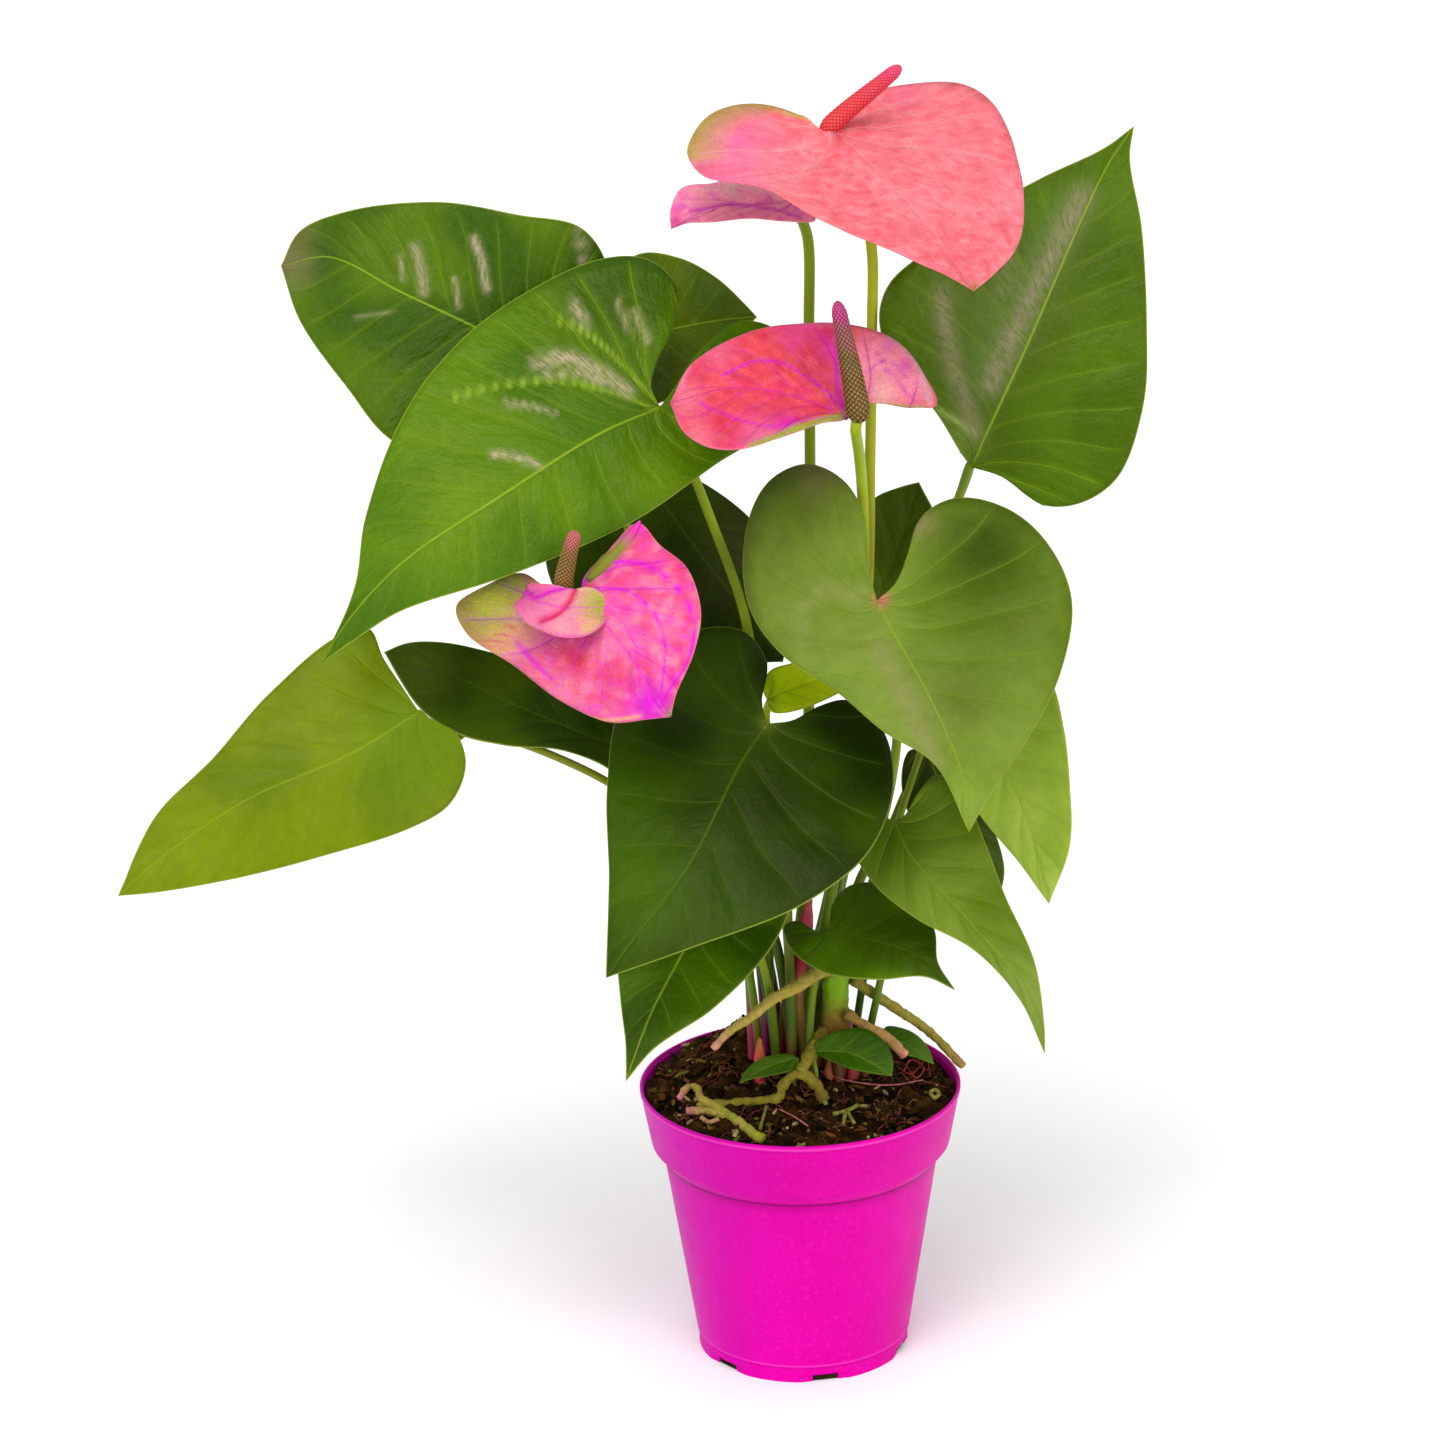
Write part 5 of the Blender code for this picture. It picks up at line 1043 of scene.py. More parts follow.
def painted_material(name, low, high, size, height, speck=None, shade=0.45, **plain):
    """A skin in the painted colour, with darker mottling, specks and roughness from low to high."""
    n = Nodes(name)
    paint = n.layer("paint")["Color"]
    colour = n.lay(paint, n.noise(size, 5.0), shade, n.mix(1.0, paint, STALK_DEEPENS, "MULTIPLY"))
    if speck is not None:
        colour = n.lay(colour, n.noise(size * 0.35, 2.0, 0.6, 0.7), 0.6, skin(speck))
    fine = n.noise(size * 0.4, 4.0)
    rise = n.math("MULTIPLY_ADD", fine, height * 0.5, n.times(n.noise(size, 3.0), height))
    roughness = n.spread(n.noise(size * 1.7, 4.0), 0.0, 1.0, low, high)
    return n.finish(colour, roughness, rise, **plain)


# The skins of blades, as blade_material's values from back on
BLADE_SKINS = {
    "leaf_face": (None, (132, 160, 30), (176, 186, 66), (140, 166, 26), (0.32, 0.46),
                  (0.3, 0.7, 0.45, 0.15, 0.05), 0.7, None, 0.12),
    "dark_face": (None, (84, 116, 12), (168, 186, 70), (84, 116, 10), (0.32, 0.46),
                  (0.3, 0.7, 0.5, 0.15, 0.05), 1.0, None, 0.1),
    "puckered_face": (None, (128, 160, 24), (176, 190, 66), (150, 176, 40), (0.22, 0.36),
                      (0.5, 0.7, 0.8, 0.25, 0.08), 2.1, None, 0.12, True),
    "small_face": (None, (128, 160, 24), (120, 150, 40), (130, 160, 40), (0.22, 0.36),
                   (0.4, 0.3, 0.4, 0.2, 0.08), 1.0, None, 0.16),
    "leaf_back": ((110, 136, 50), (144, 168, 70), (170, 180, 80), (150, 174, 60), (0.42, 0.6),
                  (0.6, 0.6, 0.7, 0.25, 0.15)),
    "coral_face": (None, (255, 166, 172), (252, 140, 150), (252, 150, 160), (0.36, 0.5),
                   (0.4, 0.3, 0.45, 0.3, 0.2), 1.6, (0.9, 0.3, 0.36)),
    "red_face": (None, (214, 20, 180), (252, 140, 170), (220, 20, 180), (0.34, 0.48),
                 (0.45, 0.5, 0.5, 0.3, 0.3), 1.3, (0.75, 0.2, 0.5)),
    "pink_face": (None, (222, 0, 226), (250, 170, 150), (222, 10, 200), (0.34, 0.48),
                  (0.3, 0.4, 0.5, 0.3, 0.4), 1.5, (0.86, 0.4, 0.66)),
    "spathe_back": ((160, 146, 70), (190, 60, 120), (220, 150, 120), (190, 100, 100), (0.4, 0.55),
                    (0.5, 0.3, 0.5, 0.3, 0.2)),
}
blade_skins = {name: blade_material(name, *values) for name, values in BLADE_SKINS.items()}
stalk_skin = painted_material("stalk_skin", 0.32, 0.48, 5.0, 0.05, None, 0.16, Specular_IOR_Level=0.2)
spadix_skin = painted_material("spadix_skin", 0.45, 0.7, 2.0, 0.05, None, 0.15)
root_skin = painted_material("root_skin", 0.6, 0.85, 2.0, 0.3, (104, 84, 30), 0.5, Specular_IOR_Level=0.15)
bract_skin = painted_material("bract_skin", 0.4, 0.6, 3.0, 0.12, None, 0.35, Specular_IOR_Level=0.2)
soil_skin = painted_material("soil_skin", 0.8, 0.98, 2.0, 0.6, (104, 66, 26), 0.7, Specular_IOR_Level=0.06)


def soil_height(x, y):
    """The height of the soil's surface."""
    height = POT_HEIGHT - SOIL_EDGE_BELOW_RIM
    for rise, across, back, spread in SOIL_MOUNDS:
        height = height + rise * np.exp(-((x - across) ** 2 + (y - back) ** 2) / (2 * spread ** 2))
    lumps = np.sin(0.31 * x + 1.3) * np.sin(0.27 * y - 0.4) + 0.6 * np.sin(0.53 * x - 0.47 * y)
    return height + lumps


def on_soil(across, down, lift):
    """The place where a point of the view meets the soil's surface, raised by lift."""
    near, far = POT_RIM_RADIUS - 2, 2 - POT_RIM_RADIUS
    for _ in range(40):
        middle = (near + far) / 2
        x, y, z = seen(across, down, middle)
        if z > soil_height(x, y) + lift:
            near = middle
        else:
            far = middle
    return seen(across, down, (near + far) / 2)


def foot_place(foot):
    """A stalk's foot on the soil's surface, from its (X, depth)."""
    x, y = foot[0], -foot[1]
    return np.array([x, y, soil_height(x, y)])


def stalk_path(foot, route, ending, spacing=STALK_SPACING):
    """A stalk's path: straight up out of its hole, along its route and to its ending."""
    place = foot_place(foot)
    up = np.array([0.0, 0.0, 1.0])
    guide = [place + up * 3, place + up * 8, *(seen(*point) for point in route), *ending]
    length = step_lengths(smooth_curve(guide)).sum()
    body = curve_at(guide, np.linspace(0, 1, max(8, round(length / spacing)) + 1))
    return np.concatenate([[place - up * 9, place - up * 2], body])


def blended(shares, stops, colours):
    """Colours at shares of a length, blended between the colours at the stops."""
    columns = np.array([skin(colour) for colour in colours]).T
    return np.stack([np.interp(shares, stops, column) for column in columns], axis=1)


# Stalks: colours of their feet, of the deep greens above them and of their length
FOOT_COLOURS = [(170, 50, 84), (110, 84, 30), (92, 110, 24), (150, 40, 110), (124, 70, 34)]
LOW_GREENS = [(96, 134, 12), (120, 160, 14), (66, 98, 10)]
STALK_COLOUR = (136, 156, 22)
STALK_COLOURS = {
    "leaf_big_left": (148, 168, 14), "leaf_front_low": (150, 156, 40), "leaf_yellow_left": (146, 150, 30),
    "leaf_dark_left": (118, 136, 30), "leaf_upper_right": (130, 152, 30), "leaf_young": (150, 172, 20),
    "bloom_back": (140, 158, 8), "bloom_top": (178, 184, 24), "bloom_middle": (176, 194, 30),
    "bloom_low_left": (150, 146, 40),
}


def stalk_paint(name, count, tip_colour=None):
    """Colours along a stalk: its foot, the deep green above it, its length and its top."""
    colour = STALK_COLOURS.get(name, STALK_COLOUR)
    number = len(name)
    foot_colour = FOOT_COLOURS[number % len(FOOT_COLOURS)]
    return blended(np.linspace(0, 1, count), [0, 0.05, 0.13, 0.45, 0.85, 1],
                   [foot_colour, foot_colour, LOW_GREENS[number % 3], colour, colour, tip_colour or colour])


PUCKERED = ("leaf_upper_left", "leaf_big_left", "leaf_low_front", "leaf_back_left", "leaf_upper_right")
DARK = ("leaf_front_low", "leaf_dark_left", "leaf_behind_big_left", "leaf_behind_centre", "leaf_low_right")
LEAF_SLOTS = {"leaf_yellow_left": "young_leaf", "leaf_young": "young_leaf", "leaf_front_low": "dark_leaf",
              "leaf_dark_left": "dark_leaf", "leaf_behind_big_left": "dark_leaf",
              "leaf_behind_centre": "dark_leaf", "leaf_behind_right_low": "dark_leaf"}


def leaf_piece(name, plan):
    """A leaf: its fine blade and its stalk."""
    shape = Shape()
    leaf_look = LEAF_RELIEF | LEAF_LOOKS[name]
    midrib, normals, facing = add_blade(shape, plan, leaf_look)
    radius = plan.radius
    path = stalk_path(plan.foot, plan.route, [midrib[0] - facing * radius * 1.1])
    # The stalk runs on as the midrib's keel, on the back of the blade.
    run = max(3, len(midrib) // 7)
    taper = np.linspace(0.8, 0.3, run) * radius
    keel = midrib[1:run + 1] - normals[1:run + 1] * (taper * 0.95)[:, None]
    radii = np.concatenate([np.linspace(radius, radius * 0.85, len(path)), taper])
    path = np.concatenate([path, keel])
    swell = 1 + 0.18 * bell((np.arange(len(path)) - (len(path) - run - 3)) / 3.0)
    paint = stalk_paint(name, len(path), leaf_look["colours"][0])
    add_tube(shape, path, radii * swell, LEAF_STALK_SIDES, paint, 2)
    face = "puckered_face" if name in PUCKERED else "dark_face" if name in DARK else "leaf_face"
    if "small" in name:
        face = "small_face"
    shape.piece(name + "_fine", [blade_skins[face], blade_skins["leaf_back"], stalk_skin],
                LEAF_SLOTS.get(name, "leaf"), name)


def spadix_piece(name, start, rise, tip, radii, colours, slot):
    """A spadix: rows of florets round a tapering spike, each with a light dot, with painted shade between
    them.
    """
    shares = np.linspace(0, 1, SPADIX_RINGS + 1)
    path = curve_at([start, start + rise * 4, tip], shares)
    bulge = np.interp(shares, [0, 0.02, 0.06, 0.13, 0.5, 0.9, 0.95, 0.985, 1],
                      [0, 0.4, 0.85, 1, 0.97, 0.88, 0.72, 0.45, 0.1])
    shape = Shape()
    size = bulge * (radii[0] + (radii[1] - radii[0]) * shares)
    grid = add_tube(shape, path, size, SPADIX_SIDES, (0, 0, 0))
    angle = FLORET_ROWS * math.pi * np.arange(SPADIX_SIDES)[None, :] / SPADIX_SIDES
    pitch = math.pi * (radii[0] + radii[1]) / FLORET_ROWS
    turns = (shares * step_lengths(path).sum() / pitch * math.pi)[:, None]
    floret = np.abs(np.cos(angle + turns) * np.cos(angle - turns))
    where = smoothstep(0.02, 0.06, shares)[:, None]
    grid = grid + unit(grid - path[:, None]) * (where * (0.6 * np.sqrt(floret) - 0.4))[..., None]
    shape.vertices[0][:-2] = grid.reshape(-1, 3)
    ripe = smoothstep(0.5, 1.0, shares[:, None] + 0.25 * rough(grid, 6.0))
    paint = toward(skin(colours[0]), colours[1], ripe)
    # Painted shade: the pits between florets are painted darker, most on the brown spadices.
    low = 0.25 if slot == "brown_spadix" else 0.6
    paint = paint * (low + (1 - low) * smoothstep(0.05, 0.6, floret))[..., None]
    dots = smoothstep(0.8, 0.95, floret) * where * (0.65 + 0.35 * rough(grid, 4.0, 2.0))
    paint = toward(paint, colours[2], dots).reshape(-1, 3)
    paint = np.concatenate([paint, [skin(colours[0]), skin(colours[1])]])
    shape.paint[0] = np.append(paint, np.ones((len(paint), 1)), axis=1)
    shape.piece(name + "_spadix_fine", [spadix_skin], slot, name + "_spadix")


# A spadix's colours at its foot, at its tip and of its dots
SPADIX_COLOURS = {
    "bloom_top": ((250, 50, 60), (252, 56, 120), (255, 140, 130)),
    "bloom_back": ((240, 60, 80), (250, 60, 140), (255, 140, 150)),
    "bloom_middle": ((128, 88, 10), (222, 30, 150), (226, 200, 84)),
    "bloom_low_left": ((150, 104, 14), (230, 100, 120), (232, 190, 80)),
}
SPADIX_SLOTS = {"bloom_middle": "brown_spadix", "bloom_low_left": "brown_spadix"}
# How far a spadix starts behind its stalk's end
SPADIX_SUNK = {"bloom_top": 4.5, "bloom_back": 1.2, "bloom_middle": 1.2, "bloom_low_left": 1.2}
SPATHE_SLOTS = {"bloom_top": "coral_spathe", "bloom_middle": "red_spathe"}
SPATHE_FACES = {"bloom_top": "coral_face", "bloom_middle": "red_face"}

# The rolled upper edge of the low left spathe's right lobe
LOBE_FOLD = [(588, 580, 66), (604, 566, 63), (620, 551, 61), (632, 534, 60), (640, 521, 60)]


def bloom_pieces(name, plan):
    """A bloom: its spathe, its stalk and its spadix."""
    shape = Shape()
    midrib, _, facing = add_blade(shape, plan, SPATHE_RELIEF | SPATHE_LOOKS[name])
    if name == "bloom_low_left":
        add_blade(shape, LOW_BLOOM_FLAP, FLAP_LOOK)
        fold = smooth_curve([seen(*point) for point in LOBE_FOLD], 6)
        shares = np.linspace(0, 1, len(fold))
        tones = [(120, 124, 30), (136, 132, 40), (226, 50, 160), (240, 60, 190)]
        radii = np.interp(shares, [0, 0.3, 0.7, 0.9, 1], [1.2, 3.2, 2.2, 1.0, 0.4])
        add_tube(shape, fold, radii, ROUND_SIDES, blended(shares, [0, 0.55, 0.8, 1], tones), 2)
    face = blade_skins[SPATHE_FACES.get(name, "pink_face")]
    shape.piece(name + "_spathe_fine", [face, blade_skins["spathe_back"], stalk_skin],
                SPATHE_SLOTS.get(name, "magenta_spathe"), name + "_spathe")

    tip = seen(*plan.spadix)
    rise = unit(unit(tip - midrib[0]) + facing * JOINT_LEAN)
    backward = midrib[0] - midrib[len(midrib) // 5]
    joint = midrib[0] + unit(backward - rise * (backward @ rise)) * (plan.radius + JOINT_BEHIND)
    path = stalk_path(plan.foot, plan.route, [joint - rise * 4])
    path = np.concatenate([path, [joint - rise * 1.5, joint + rise]])
    shape = Shape()
    radii = np.linspace(plan.radius, plan.radius * 0.95, len(path))
    add_tube(shape, path, radii, ROUND_SIDES, stalk_paint(name, len(path)))
    shape.piece(name + "_stalk_fine", [stalk_skin], "stalk", name + "_stalk")
    spadix_piece(name, joint - rise * SPADIX_SUNK[name], rise, tip, plan.spadix_radii,
                 SPADIX_COLOURS[name], SPADIX_SLOTS.get(name, "red_spadix"))


for name, plan in LEAVES.items():
    leaf_piece(name, plan)
for name, plan in BLOOMS.items():
    bloom_pieces(name, plan)


def root_piece(name, lines, ends, colours, bumps=0.35):
    """A root with bumps, paler at its end, from its lines and the radii at their ends."""
    shape = Shape()
    for places, radii in zip(lines, ends):
        length = step_lengths(smooth_curve(places)).sum()
        shares = np.linspace(0, 1, max(10, round(length / ROOT_SPACING)) + 1)
        sizes = radii[0] + (radii[1] - radii[0]) * shares
        sizes = sizes * (1 + 0.06 * np.sin(0.7 * np.arange(len(shares))))
        paint = blended(shares, [0, 0.3, 0.8, 1], [colours[0], colours[1], colours[1], colours[2]])
        add_tube(shape, curve_at(places, shares), sizes, ROUND_SIDES, paint, bumps=bumps)
    shape.piece(name + "_fine", [root_skin], "root", name)


for name, (route, radii, colours) in ROOTS.items():
    root_piece(name, [[seen(*point) for point in route]], [radii], colours)
root_piece("root_fork", [[on_soil(*point, ROOT_FORK_LIFT) for point in line] for line in ROOT_FORK],
           ROOT_FORK_RADII, ((170, 180, 40), (206, 186, 84), (250, 150, 150)), 0.5)
arch = [on_soil(*point, ROOT_ARCH_LIFT) for point in ROOT_ARCH]
arch += [seen(*point) for point in ROOT_ARCH_RISE]
arch.append(on_soil(*ROOT_ARCH_END, ROOT_ARCH_LIFT))
root_piece("root_arch", [arch, [seen(*point) for point in ROOT_ARCH_LINK]], ROOT_ARCH_RADII,
           ((170, 164, 60), (156, 142, 44), (130, 104, 40)), 0.75)


# The papery bracts: their colours, and the angle from each to the next
BRACT_COLOURS = [(134, 70, 40), (170, 60, 60), (110, 70, 30), (186, 96, 60)]
BRACT_TURN = 2.4


def standing_piece(name, foot, profile, colours, slot, bumps, bracts=0):
    """An upright round piece in its own hole, from (height, radius) up its axis, with papery bracts."""
    place = foot_place(foot)
    low = place[2] - HOLE_DEPTH * 0.6
    heights, sizes = zip((low, profile[0][1]), *profile)
    fine = np.arange(low, heights[-1], 0.7)
    path = np.stack([np.full_like(fine, place[0]), np.full_like(fine, place[1]), fine], axis=1)
    paint = blended((fine - low) / (fine[-1] - low), np.linspace(0, 1, len(colours)), colours)
    shape = Shape()
    add_tube(shape, path, np.interp(fine, heights, sizes), STANDING_SIDES, paint, bumps=bumps)
    for number in range(bracts):
        angle = BRACT_TURN * number
        aside = np.array([math.cos(angle), math.sin(angle), 0.0])
        tall = 7 + 9 * (0.5 + 0.5 * math.sin(1.7 * number))
        spine = smooth_curve([place + aside * (sizes[1] + out) + (0, 0, up)
                              for out, up in ((1.2, -2), (1.6, tall * 0.5), (0.2, tall))], 6)
        tone = skin(BRACT_COLOURS[number % len(BRACT_COLOURS)])
        add_tube(shape, spine, np.linspace(2.4, 0.5, len(spine)), BRACT_SIDES, tone, bumps=0.4)
    shape.piece(name + "_fine", [bract_skin], slot, name)


standing_piece("crown", CROWN_PLACE, CROWN_PROFILE,
               ((110, 60, 30), (140, 74, 40), (150, 84, 40), (140, 110, 30), (136, 186, 10), (140, 176, 24),
                (150, 140, 40)), "stalk", 0.5, 10)
sheath_foot = foot_place(SHEATH_FOOT)[2]
profile = [(sheath_foot + height, radius) for height, radius in SHEATH_PROFILE]
standing_piece("sheath", SHEATH_FOOT, profile,
               ((190, 50, 70), (226, 60, 80), (236, 90, 70), (210, 120, 60)), "magenta_spathe", 0.2)

path = stalk_path(SHOOT_FOOT, SHOOT_ROUTE[:-1], [seen(*SHOOT_ROUTE[-1])], 0.9)
shares = np.linspace(0, 1, len(path))
radii = np.interp(shares, np.linspace(0, 1, len(SHOOT_RADII)), SHOOT_RADII)
paint = blended(shares, [0, 0.4, 0.6, 0.8, 1],
                ((150, 130, 50), (170, 120, 60), (200, 50, 70), (214, 50, 90), (170, 110, 60)))
shape = Shape()
add_tube(shape, path, radii, 24, paint, bumps=0.2)
shape.piece("shoot_fine", [bract_skin], "red_spathe", "shoot")


# Soil: a rough top with crumbs, bark chips and fibres
draw = random.Random(7)
GAP_AT_WALL = 1.2
TOP_RADIUS = POT_RIM_RADIUS - POT_WALL - GAP_AT_WALL
FLAT_HEIGHT = POT_HEIGHT - SOIL_EDGE_BELOW_RIM
CRUMB_COLOURS = [(46, 28, 10)] * 5 + [(84, 54, 22)] * 5 + [(130, 76, 36)] * 3
CRUMB_COLOURS += [(160, 120, 60), (214, 190, 130), (140, 140, 50)]
CRUMBS = 1100
CRUMB_REACH = TOP_RADIUS * 0.96
FIBRE_COLOURS = [(120, 60, 50), (90, 54, 36), (150, 96, 70), (160, 70, 70)]
FIBRES = 170
FIBRE_REACH = TOP_RADIUS * 0.9


def levelled(x, y, far):
    """The soil's height, drawn toward a level edge at the pot's wall. far is the distance from the axis."""
    edge = np.minimum(1.0, (TOP_RADIUS - far) / 8 + 0.3)
    return FLAT_HEIGHT + (soil_height(x, y) - FLAT_HEIGHT) * edge


def heading_to(turn):
    """The level direction at an angle."""
    return np.array([math.cos(turn), math.sin(turn)])


shape = Shape()
far = np.linspace(0, 1, SOIL_RINGS + 1)[:, None] ** 0.8 * TOP_RADIUS
angle = 2 * math.pi * np.arange(SOIL_SIDES)[None, :] / SOIL_SIDES
x, y = far * np.cos(angle), far * np.sin(angle)
spot = np.stack([x, y, levelled(x, y, far)], axis=-1)
crust = 1.0 + 2.6 * rough(spot, 7.5) + 2.0 * np.abs(rough(spot, 3.6, 4.0)) + 0.8 * rough(spot, 1.6, 9.0)
spot[..., 2] += crust
earth = toward(skin((46, 28, 8)), (100, 66, 26), smoothstep(-0.3, 0.5, rough(spot, 4.0, 2.0)))
# Painted shade: the soil is painted darker in its hollows.
hollows = spot[..., 2] - spot[..., 2].mean(axis=1, keepdims=True)
earth = earth * (0.4 + 0.6 * smoothstep(-1.5, 1.5, hollows))[..., None]
faces = []
for i in range(SOIL_RINGS):
    for k in range(SOIL_SIDES):
        a, b = i * SOIL_SIDES + k, i * SOIL_SIDES + (k + 1) % SOIL_SIDES
        faces.append((a, a + SOIL_SIDES, b + SOIL_SIDES, b))
shape.add(spot.reshape(-1, 3), faces, earth.reshape(-1, 3))

ball = bmesh.new()
bmesh.ops.create_icosphere(ball, subdivisions=1, radius=1.0)
ball_points = np.array([v.co for v in ball.verts])
ball_faces = [tuple(v.index for v in face.verts) for face in ball.faces]
ball.free()
for _ in range(CRUMBS):
    far = CRUMB_REACH * math.sqrt(draw.random())
    x, y = far * heading_to(draw.uniform(0, 2 * math.pi))
    at = np.array([x, y, levelled(x, y, far) + draw.uniform(0.6, 2.2)])
    stretch = 2.4 if draw.random() < 0.3 else 1
    size = np.array([draw.uniform(0.6, 1.9) * stretch, draw.uniform(0.5, 1.4), draw.uniform(0.4, 1.0)])
    spin = Matrix.Rotation(draw.uniform(0, 6.3), 3, "Z") @ Matrix.Rotation(draw.uniform(-0.6, 0.6), 3, "Y")
    points = ball_points * size * (1 + 0.3 * np.array([draw.uniform(-1, 1) for _ in ball_points]))[:, None]
    points = points @ np.array(spin).T + at
    shape.add(points, ball_faces, skin(draw.choice(CRUMB_COLOURS)) * draw.uniform(0.5, 1.1))
for _ in range(FIBRES):
    far = FIBRE_REACH * math.sqrt(draw.random())
    at = far * heading_to(draw.uniform(0, 2 * math.pi))
    heading = draw.uniform(0, 2 * math.pi)
    line = []
    for _ in range(9):
        if np.hypot(*at) < TOP_RADIUS - 2:
            line.append([*at, soil_height(*at) + draw.uniform(1.2, 3.0)])
        heading += draw.uniform(-0.6, 0.6)
        at = at + 1.3 * heading_to(heading)
    if len(line) > 4:
        tone = skin(draw.choice(FIBRE_COLOURS))
        add_tube(shape, smooth_curve(line, 2), draw.uniform(0.14, 0.3), 5, tone)

# Fine roots that can be told apart: (guide points in the view, radius, colour)
PINK, MOSSY = (226, 130, 136), (160, 158, 70)
FINE_ROOTS = [
    ([(820, 1071), (838, 1078), (861, 1083), (892, 1085), (923, 1080)], 0.3, PINK),
    ([(779, 1109), (793, 1116), (808, 1126)], 0.3, PINK),
    ([(903, 1072), (912, 1060), (924, 1068), (916, 1078), (906, 1066)], 0.3, (214, 84, 84)),
    ([(896, 1066), (910, 1074), (926, 1060), (930, 1076)], 0.25, (200, 70, 80)),
    ([(766, 1107), (763, 1118), (760, 1129)], 0.6, MOSSY),
    ([(701, 1117), (709, 1122), (719, 1119)], 0.9, (220, 170, 120)),
    ([(833, 1114), (846, 1111), (858, 1105)], 0.8, MOSSY),
    ([(846, 1111), (843, 1123)], 0.7, MOSSY),
    ([(847, 1111), (854, 1123)], 0.7, MOSSY),
    ([(930, 1092), (935, 1090), (939, 1094), (934, 1098), (930, 1093)], 0.8, (190, 176, 84)),
    ([(806, 1078), (818, 1090), (826, 1104)], 0.9, MOSSY),
]
FINE_ROOT_LIFT = 3.4
for points, radius, tone in FINE_ROOTS:
    line = smooth_curve([on_soil(*point, FINE_ROOT_LIFT) for point in points], 6)
    add_tube(shape, line, radius, FINE_ROOT_SIDES, skin(tone), bumps=0.12)
shape.piece("soil_top", [soil_skin], "soil")
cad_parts["soil"].material_slots[0].material = soil_skin


# Pot: more violet and darker toward the left, a painted shade on its left side, with painted lines round it
# as (height, half width, colour, strength): painted shade under the step (the first two), a painted
# highlight on the rim's bead, painted shade under the bead and a painted highlight just above the foot.
STEP_FOOT = POT_HEIGHT - POT_COLLAR_HEIGHT - POT_STEP_HEIGHT
POT_SHADE_AND_HIGHLIGHT_LINES = [(STEP_FOOT + 0.2, 0.55, (96, 0, 70), 0.75), (STEP_FOOT - 1.0, 1.8, (150, 0, 110), 0.3),
             (POT_HEIGHT - 1.3, 0.5, (255, 90, 200), 0.5), (POT_HEIGHT - 2.4, 0.4, (170, 0, 120), 0.4),
             (POT_FOOT_HEIGHT + 0.4, 0.35, (255, 80, 220), 0.5)]
n = Nodes("pot_plastic")
colour = n.mix(n.noise(45.0, 3.0), skin((234, 10, 172)), skin((220, 4, 160)))
colour = n.lay(colour, n.noise(1.6, 4.0, 0.55, 0.8), 0.25, skin((255, 70, 190)))
place = n.node("ShaderNodeSeparateXYZ", {"Vector": n.place}).outputs
# Painted shade: the left side is painted a darker violet.
colour = n.mix(n.spread(place["X"], 0.0, -0.055, 0.0, 0.6), colour, skin((214, 4, 190)))
for height, half, tone, strength in POT_SHADE_AND_HIGHLIGHT_LINES:
    away = n.math("SUBTRACT", place["Z"], height * MM)
    colour = n.lay(colour, n.bell(away, half * MM), strength, skin(tone))
roughness = n.spread(n.noise(12.0, 5.0), 0, 1, 0.34, 0.46)
pot_plastic = n.finish(colour, roughness, n.times(n.noise(0.8, 2.0), 0.05),
                       Specular_IOR_Level=0.05, Specular_Tint=POT_GLOSS_TINT)
# The drain notches' back faces: dark soil brown in painted shade, standing for the shaded hollow behind a
# drain
n = Nodes("drain_soil_in_shade")
drain_soil_in_shade = n.finish(n.mix(n.noise(2.0), skin((34, 26, 10)), skin((60, 50, 20))), 0.9,
                      n.times(n.noise(1.0), 0.2), Specular_IOR_Level=0.05)


def pot_outline():
    """The pot's outline from the middle of its underside, up its wall and down its bore."""
    foot, step, collar, rim = POT_FOOT_RADIUS, POT_STEP_RADIUS, POT_COLLAR_RADIUS, POT_RIM_RADIUS
    low, inner_foot = POT_HEIGHT - POT_COLLAR_HEIGHT, POT_FOOT_RADIUS - POT_FOOT_INSET
    drop, top = POT_STEP_HEIGHT, POT_HEIGHT
    wall = [(inner_foot, 0.0), (inner_foot, POT_FOOT_HEIGHT - 0.6), (foot, POT_FOOT_HEIGHT)]
    ledge = [(step - 0.1, low - drop), (step + 0.5, low - drop * 0.8), (step + 1.5, low - drop * 0.5),
             (collar - 2.0, low - drop * 0.2), (collar - 1.7, low + 0.3), (collar - 0.3, low + 0.2),
             (collar, low + 0.6)]
    bead = [(rim - 0.4, top - 2.4), (rim - 0.1, top - 1.9), (rim, top - 1.2), (rim, top - 0.4),
            (rim - 0.3, top), (rim - 0.9, top), (rim - POT_WALL, top - 0.3)]
    bore = [(collar - POT_WALL - 0.4, low + POT_WALL), (step - POT_WALL, low - drop + POT_WALL),
            (foot - POT_WALL - POT_FOOT_INSET, POT_FLOOR)]
    return [(0, 0), *wall, *ledge, *bead, *bore, (0, POT_FLOOR)]


def mesh_of(shape, name):
    """A new object with what a bmesh holds."""
    mesh = bpy.data.meshes.new(name)
    shape.to_mesh(mesh)
    shape.free()
    return placed(name, mesh)


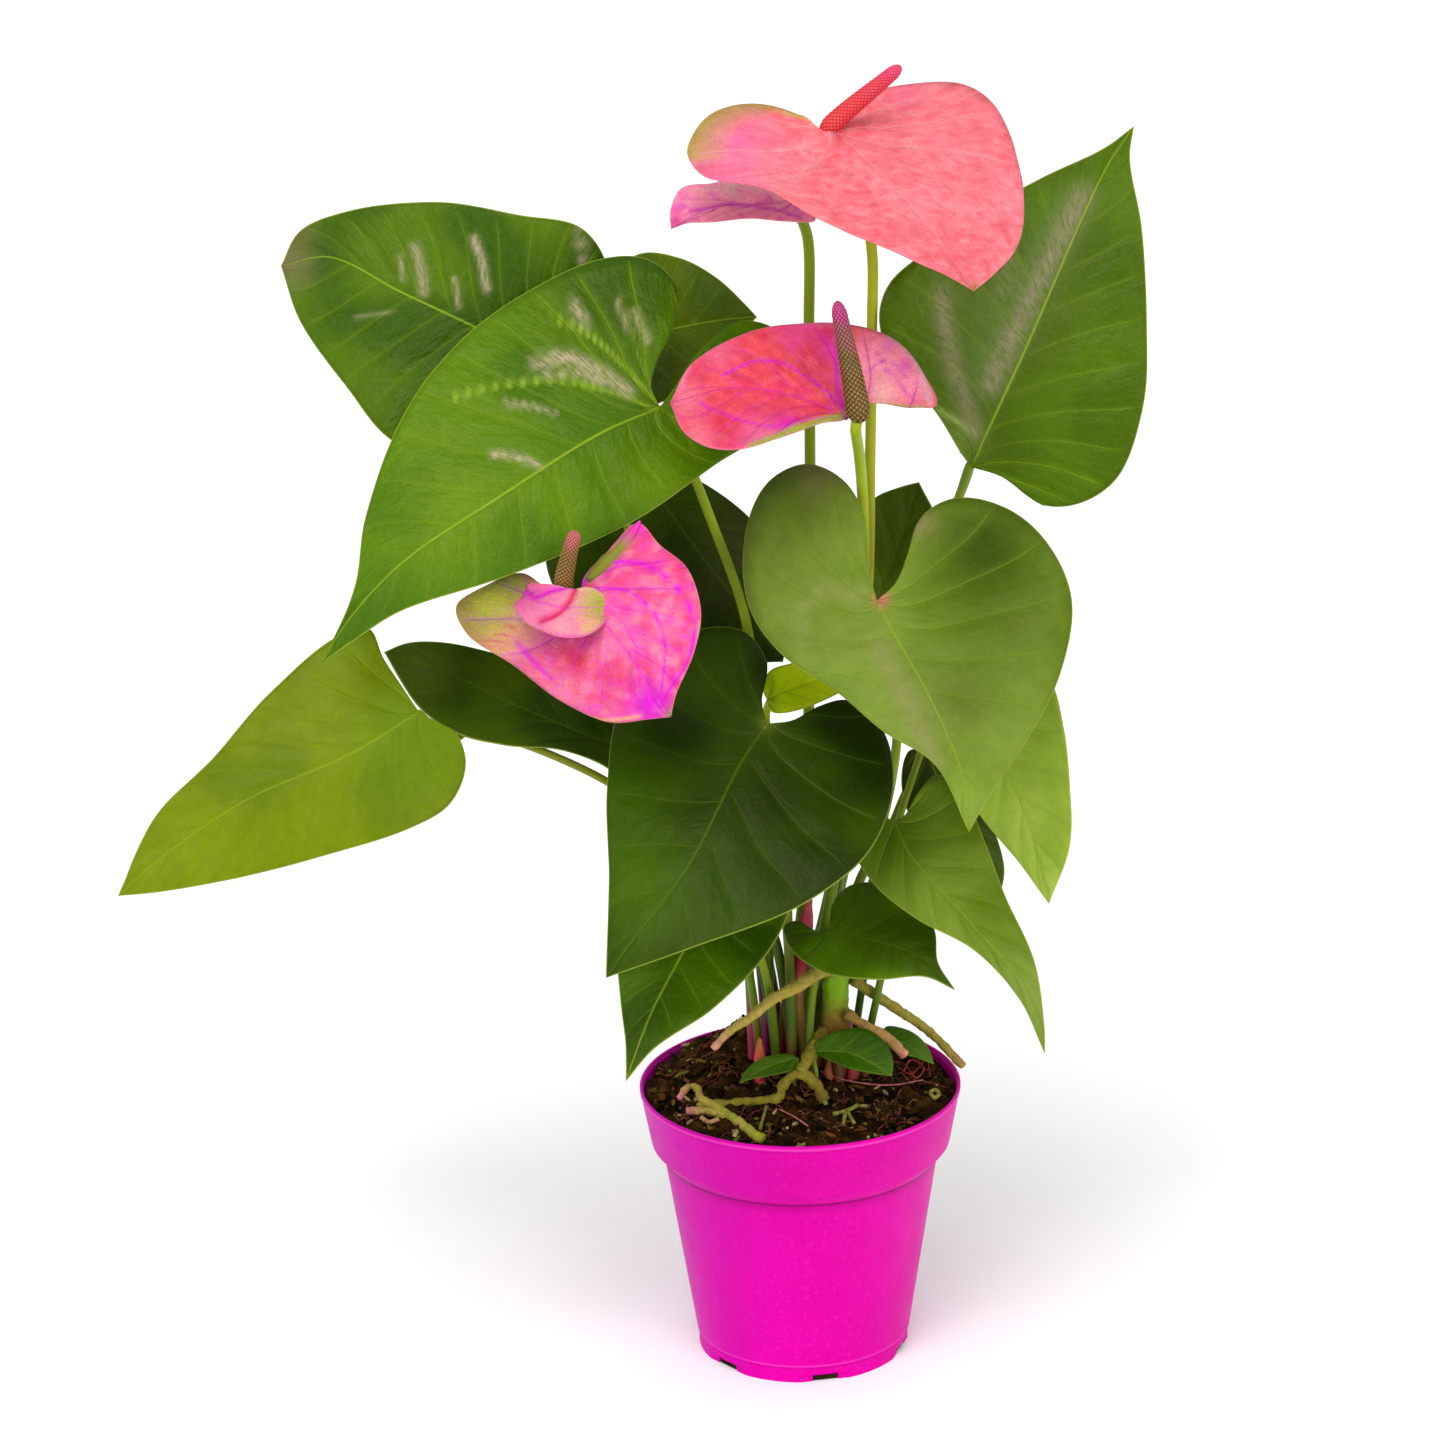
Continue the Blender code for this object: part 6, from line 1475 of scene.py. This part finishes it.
def pot_piece():
    """The pot, turned finely, with its drain notches."""
    shape = bmesh.new()
    rings = []
    for radius, height in pot_outline():
        ring = []
        for k in range(POT_SIDES if radius else 1):
            angle = 2 * math.pi * k / POT_SIDES
            place = (radius * MM * math.cos(angle), radius * MM * math.sin(angle), height * MM)
            ring.append(shape.verts.new(place))
        rings.append(ring if radius else ring * POT_SIDES)
    for lower, upper in zip(rings, rings[1:]):
        for k in range(POT_SIDES):
            n = (k + 1) % POT_SIDES
            shape.faces.new(list(dict.fromkeys((lower[k], lower[n], upper[n], upper[k]))))
    bmesh.ops.recalc_face_normals(shape, faces=shape.faces)
    pot = mesh_of(shape, "pot_fine")
    shape = bmesh.new()
    for i in range(DRAIN_COUNT):
        turn = Matrix.Rotation(DRAIN_FIRST_ANGLE + 2 * math.pi * i / DRAIN_COUNT, 4, "Z")
        for width, height, depth in NOTCH_SIZES:
            size = Matrix.Diagonal((depth * MM, width * MM, height * 2 * MM, 1))
            place = turn @ Matrix.Translation((POT_FOOT_RADIUS * MM, 0, 0)) @ size
            bmesh.ops.create_cube(shape, size=1.0, matrix=place)
    cutter = mesh_of(shape, "notches")
    modifier = pot.modifiers.new("notches", "BOOLEAN")
    modifier.operation = "DIFFERENCE"
    modifier.use_self = True
    modifier.object = cutter
    bpy.context.view_layer.update()
    cut = bpy.data.meshes.new_from_object(pot.evaluated_get(bpy.context.evaluated_depsgraph_get()))
    pot.modifiers.clear()
    pot.data = cut
    bpy.data.objects.remove(cutter)
    cut.materials.clear()
    cut.materials.append(pot_plastic)
    cut.materials.append(drain_soil_in_shade)
    # The notches' inner back faces get the painted shade of the drain's hollow.
    hollow = (POT_FOOT_RADIUS - DRAIN_DEPTH / 2 + 0.3) * MM
    for face in cut.polygons:
        inset = math.hypot(face.center.x, face.center.y) < hollow and abs(face.normal.z) < 0.5
        face.material_index = int(inset and 0.1 * MM < face.center.z < DRAIN_HEIGHT * MM)
    cut.shade_smooth()
    cut.set_sharp_from_angle(angle=math.radians(30))
    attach(pot, "root")
    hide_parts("pot")


pot_piece()


# Floor, light and camera
FLOOR_REACH = 30
FLOOR_WHITE = 0.92
SKY_STRENGTH = 0.68
scene = bpy.context.scene
floor_mesh = bpy.data.meshes.new("floor")
corners = [(-1, -1, 0), (1, -1, 0), (1, 1, 0), (-1, 1, 0)]
floor_mesh.from_pydata([Vector(corner) * FLOOR_REACH for corner in corners], [], [(0, 1, 2, 3)])
floor = placed("floor", floor_mesh)
paper = bpy.data.materials.new("paper")
paper.use_nodes = True
paper_shader = paper.node_tree.nodes["Principled BSDF"]
paper_shader.inputs["Base Color"].default_value = (FLOOR_WHITE, FLOOR_WHITE, FLOOR_WHITE, 1)
paper_shader.inputs["Roughness"].default_value = 0.9
floor_mesh.materials.append(paper)

world = bpy.data.worlds.new("studio")
world.use_nodes = True
sky = world.node_tree.nodes["Background"]
sky.inputs["Color"].default_value = (1, 1, 1, 1)
sky.inputs["Strength"].default_value = SKY_STRENGTH
scene.world = world


def soft_sun(name, turn, rise, power, spread):
    """A soft light from turn degrees to the viewer's right and rise degrees up, spread over an angle."""
    turn, rise = math.radians(turn), math.radians(rise)
    place = Vector((math.cos(rise) * math.sin(turn), -math.cos(rise) * math.cos(turn), math.sin(rise)))
    light = bpy.data.lights.new(name, "SUN")
    light.energy = power
    light.angle = math.radians(spread)
    lamp = placed(name, light)
    lamp.location = place
    lamp.rotation_euler = (-place).to_track_quat("-Z", "Y").to_euler()


soft_sun("top_light", -12, 60, 1.65, 34)
soft_sun("left_light", -40, 24, 0.75, 36)
soft_sun("right_light", 40, 16, 1.15, 36)

camera_data = bpy.data.cameras.new("camera")
camera_data.sensor_width = SENSOR
camera_data.lens = VIEW_FOCAL * SENSOR / VIEW_WIDTH
camera = placed("camera", camera_data)
image_right = VIEW_RIGHT * math.cos(VIEW_ROLL) - VIEW_UP * math.sin(VIEW_ROLL)
image_up = VIEW_RIGHT * math.sin(VIEW_ROLL) + VIEW_UP * math.cos(VIEW_ROLL)
turn = Matrix((image_right, image_up, -VIEW_FORWARD)).transposed()
camera.matrix_world = Matrix.Translation(VIEW_POINT * MM) @ turn.to_4x4()
scene.camera = camera
scene.view_settings.view_transform = "Standard"
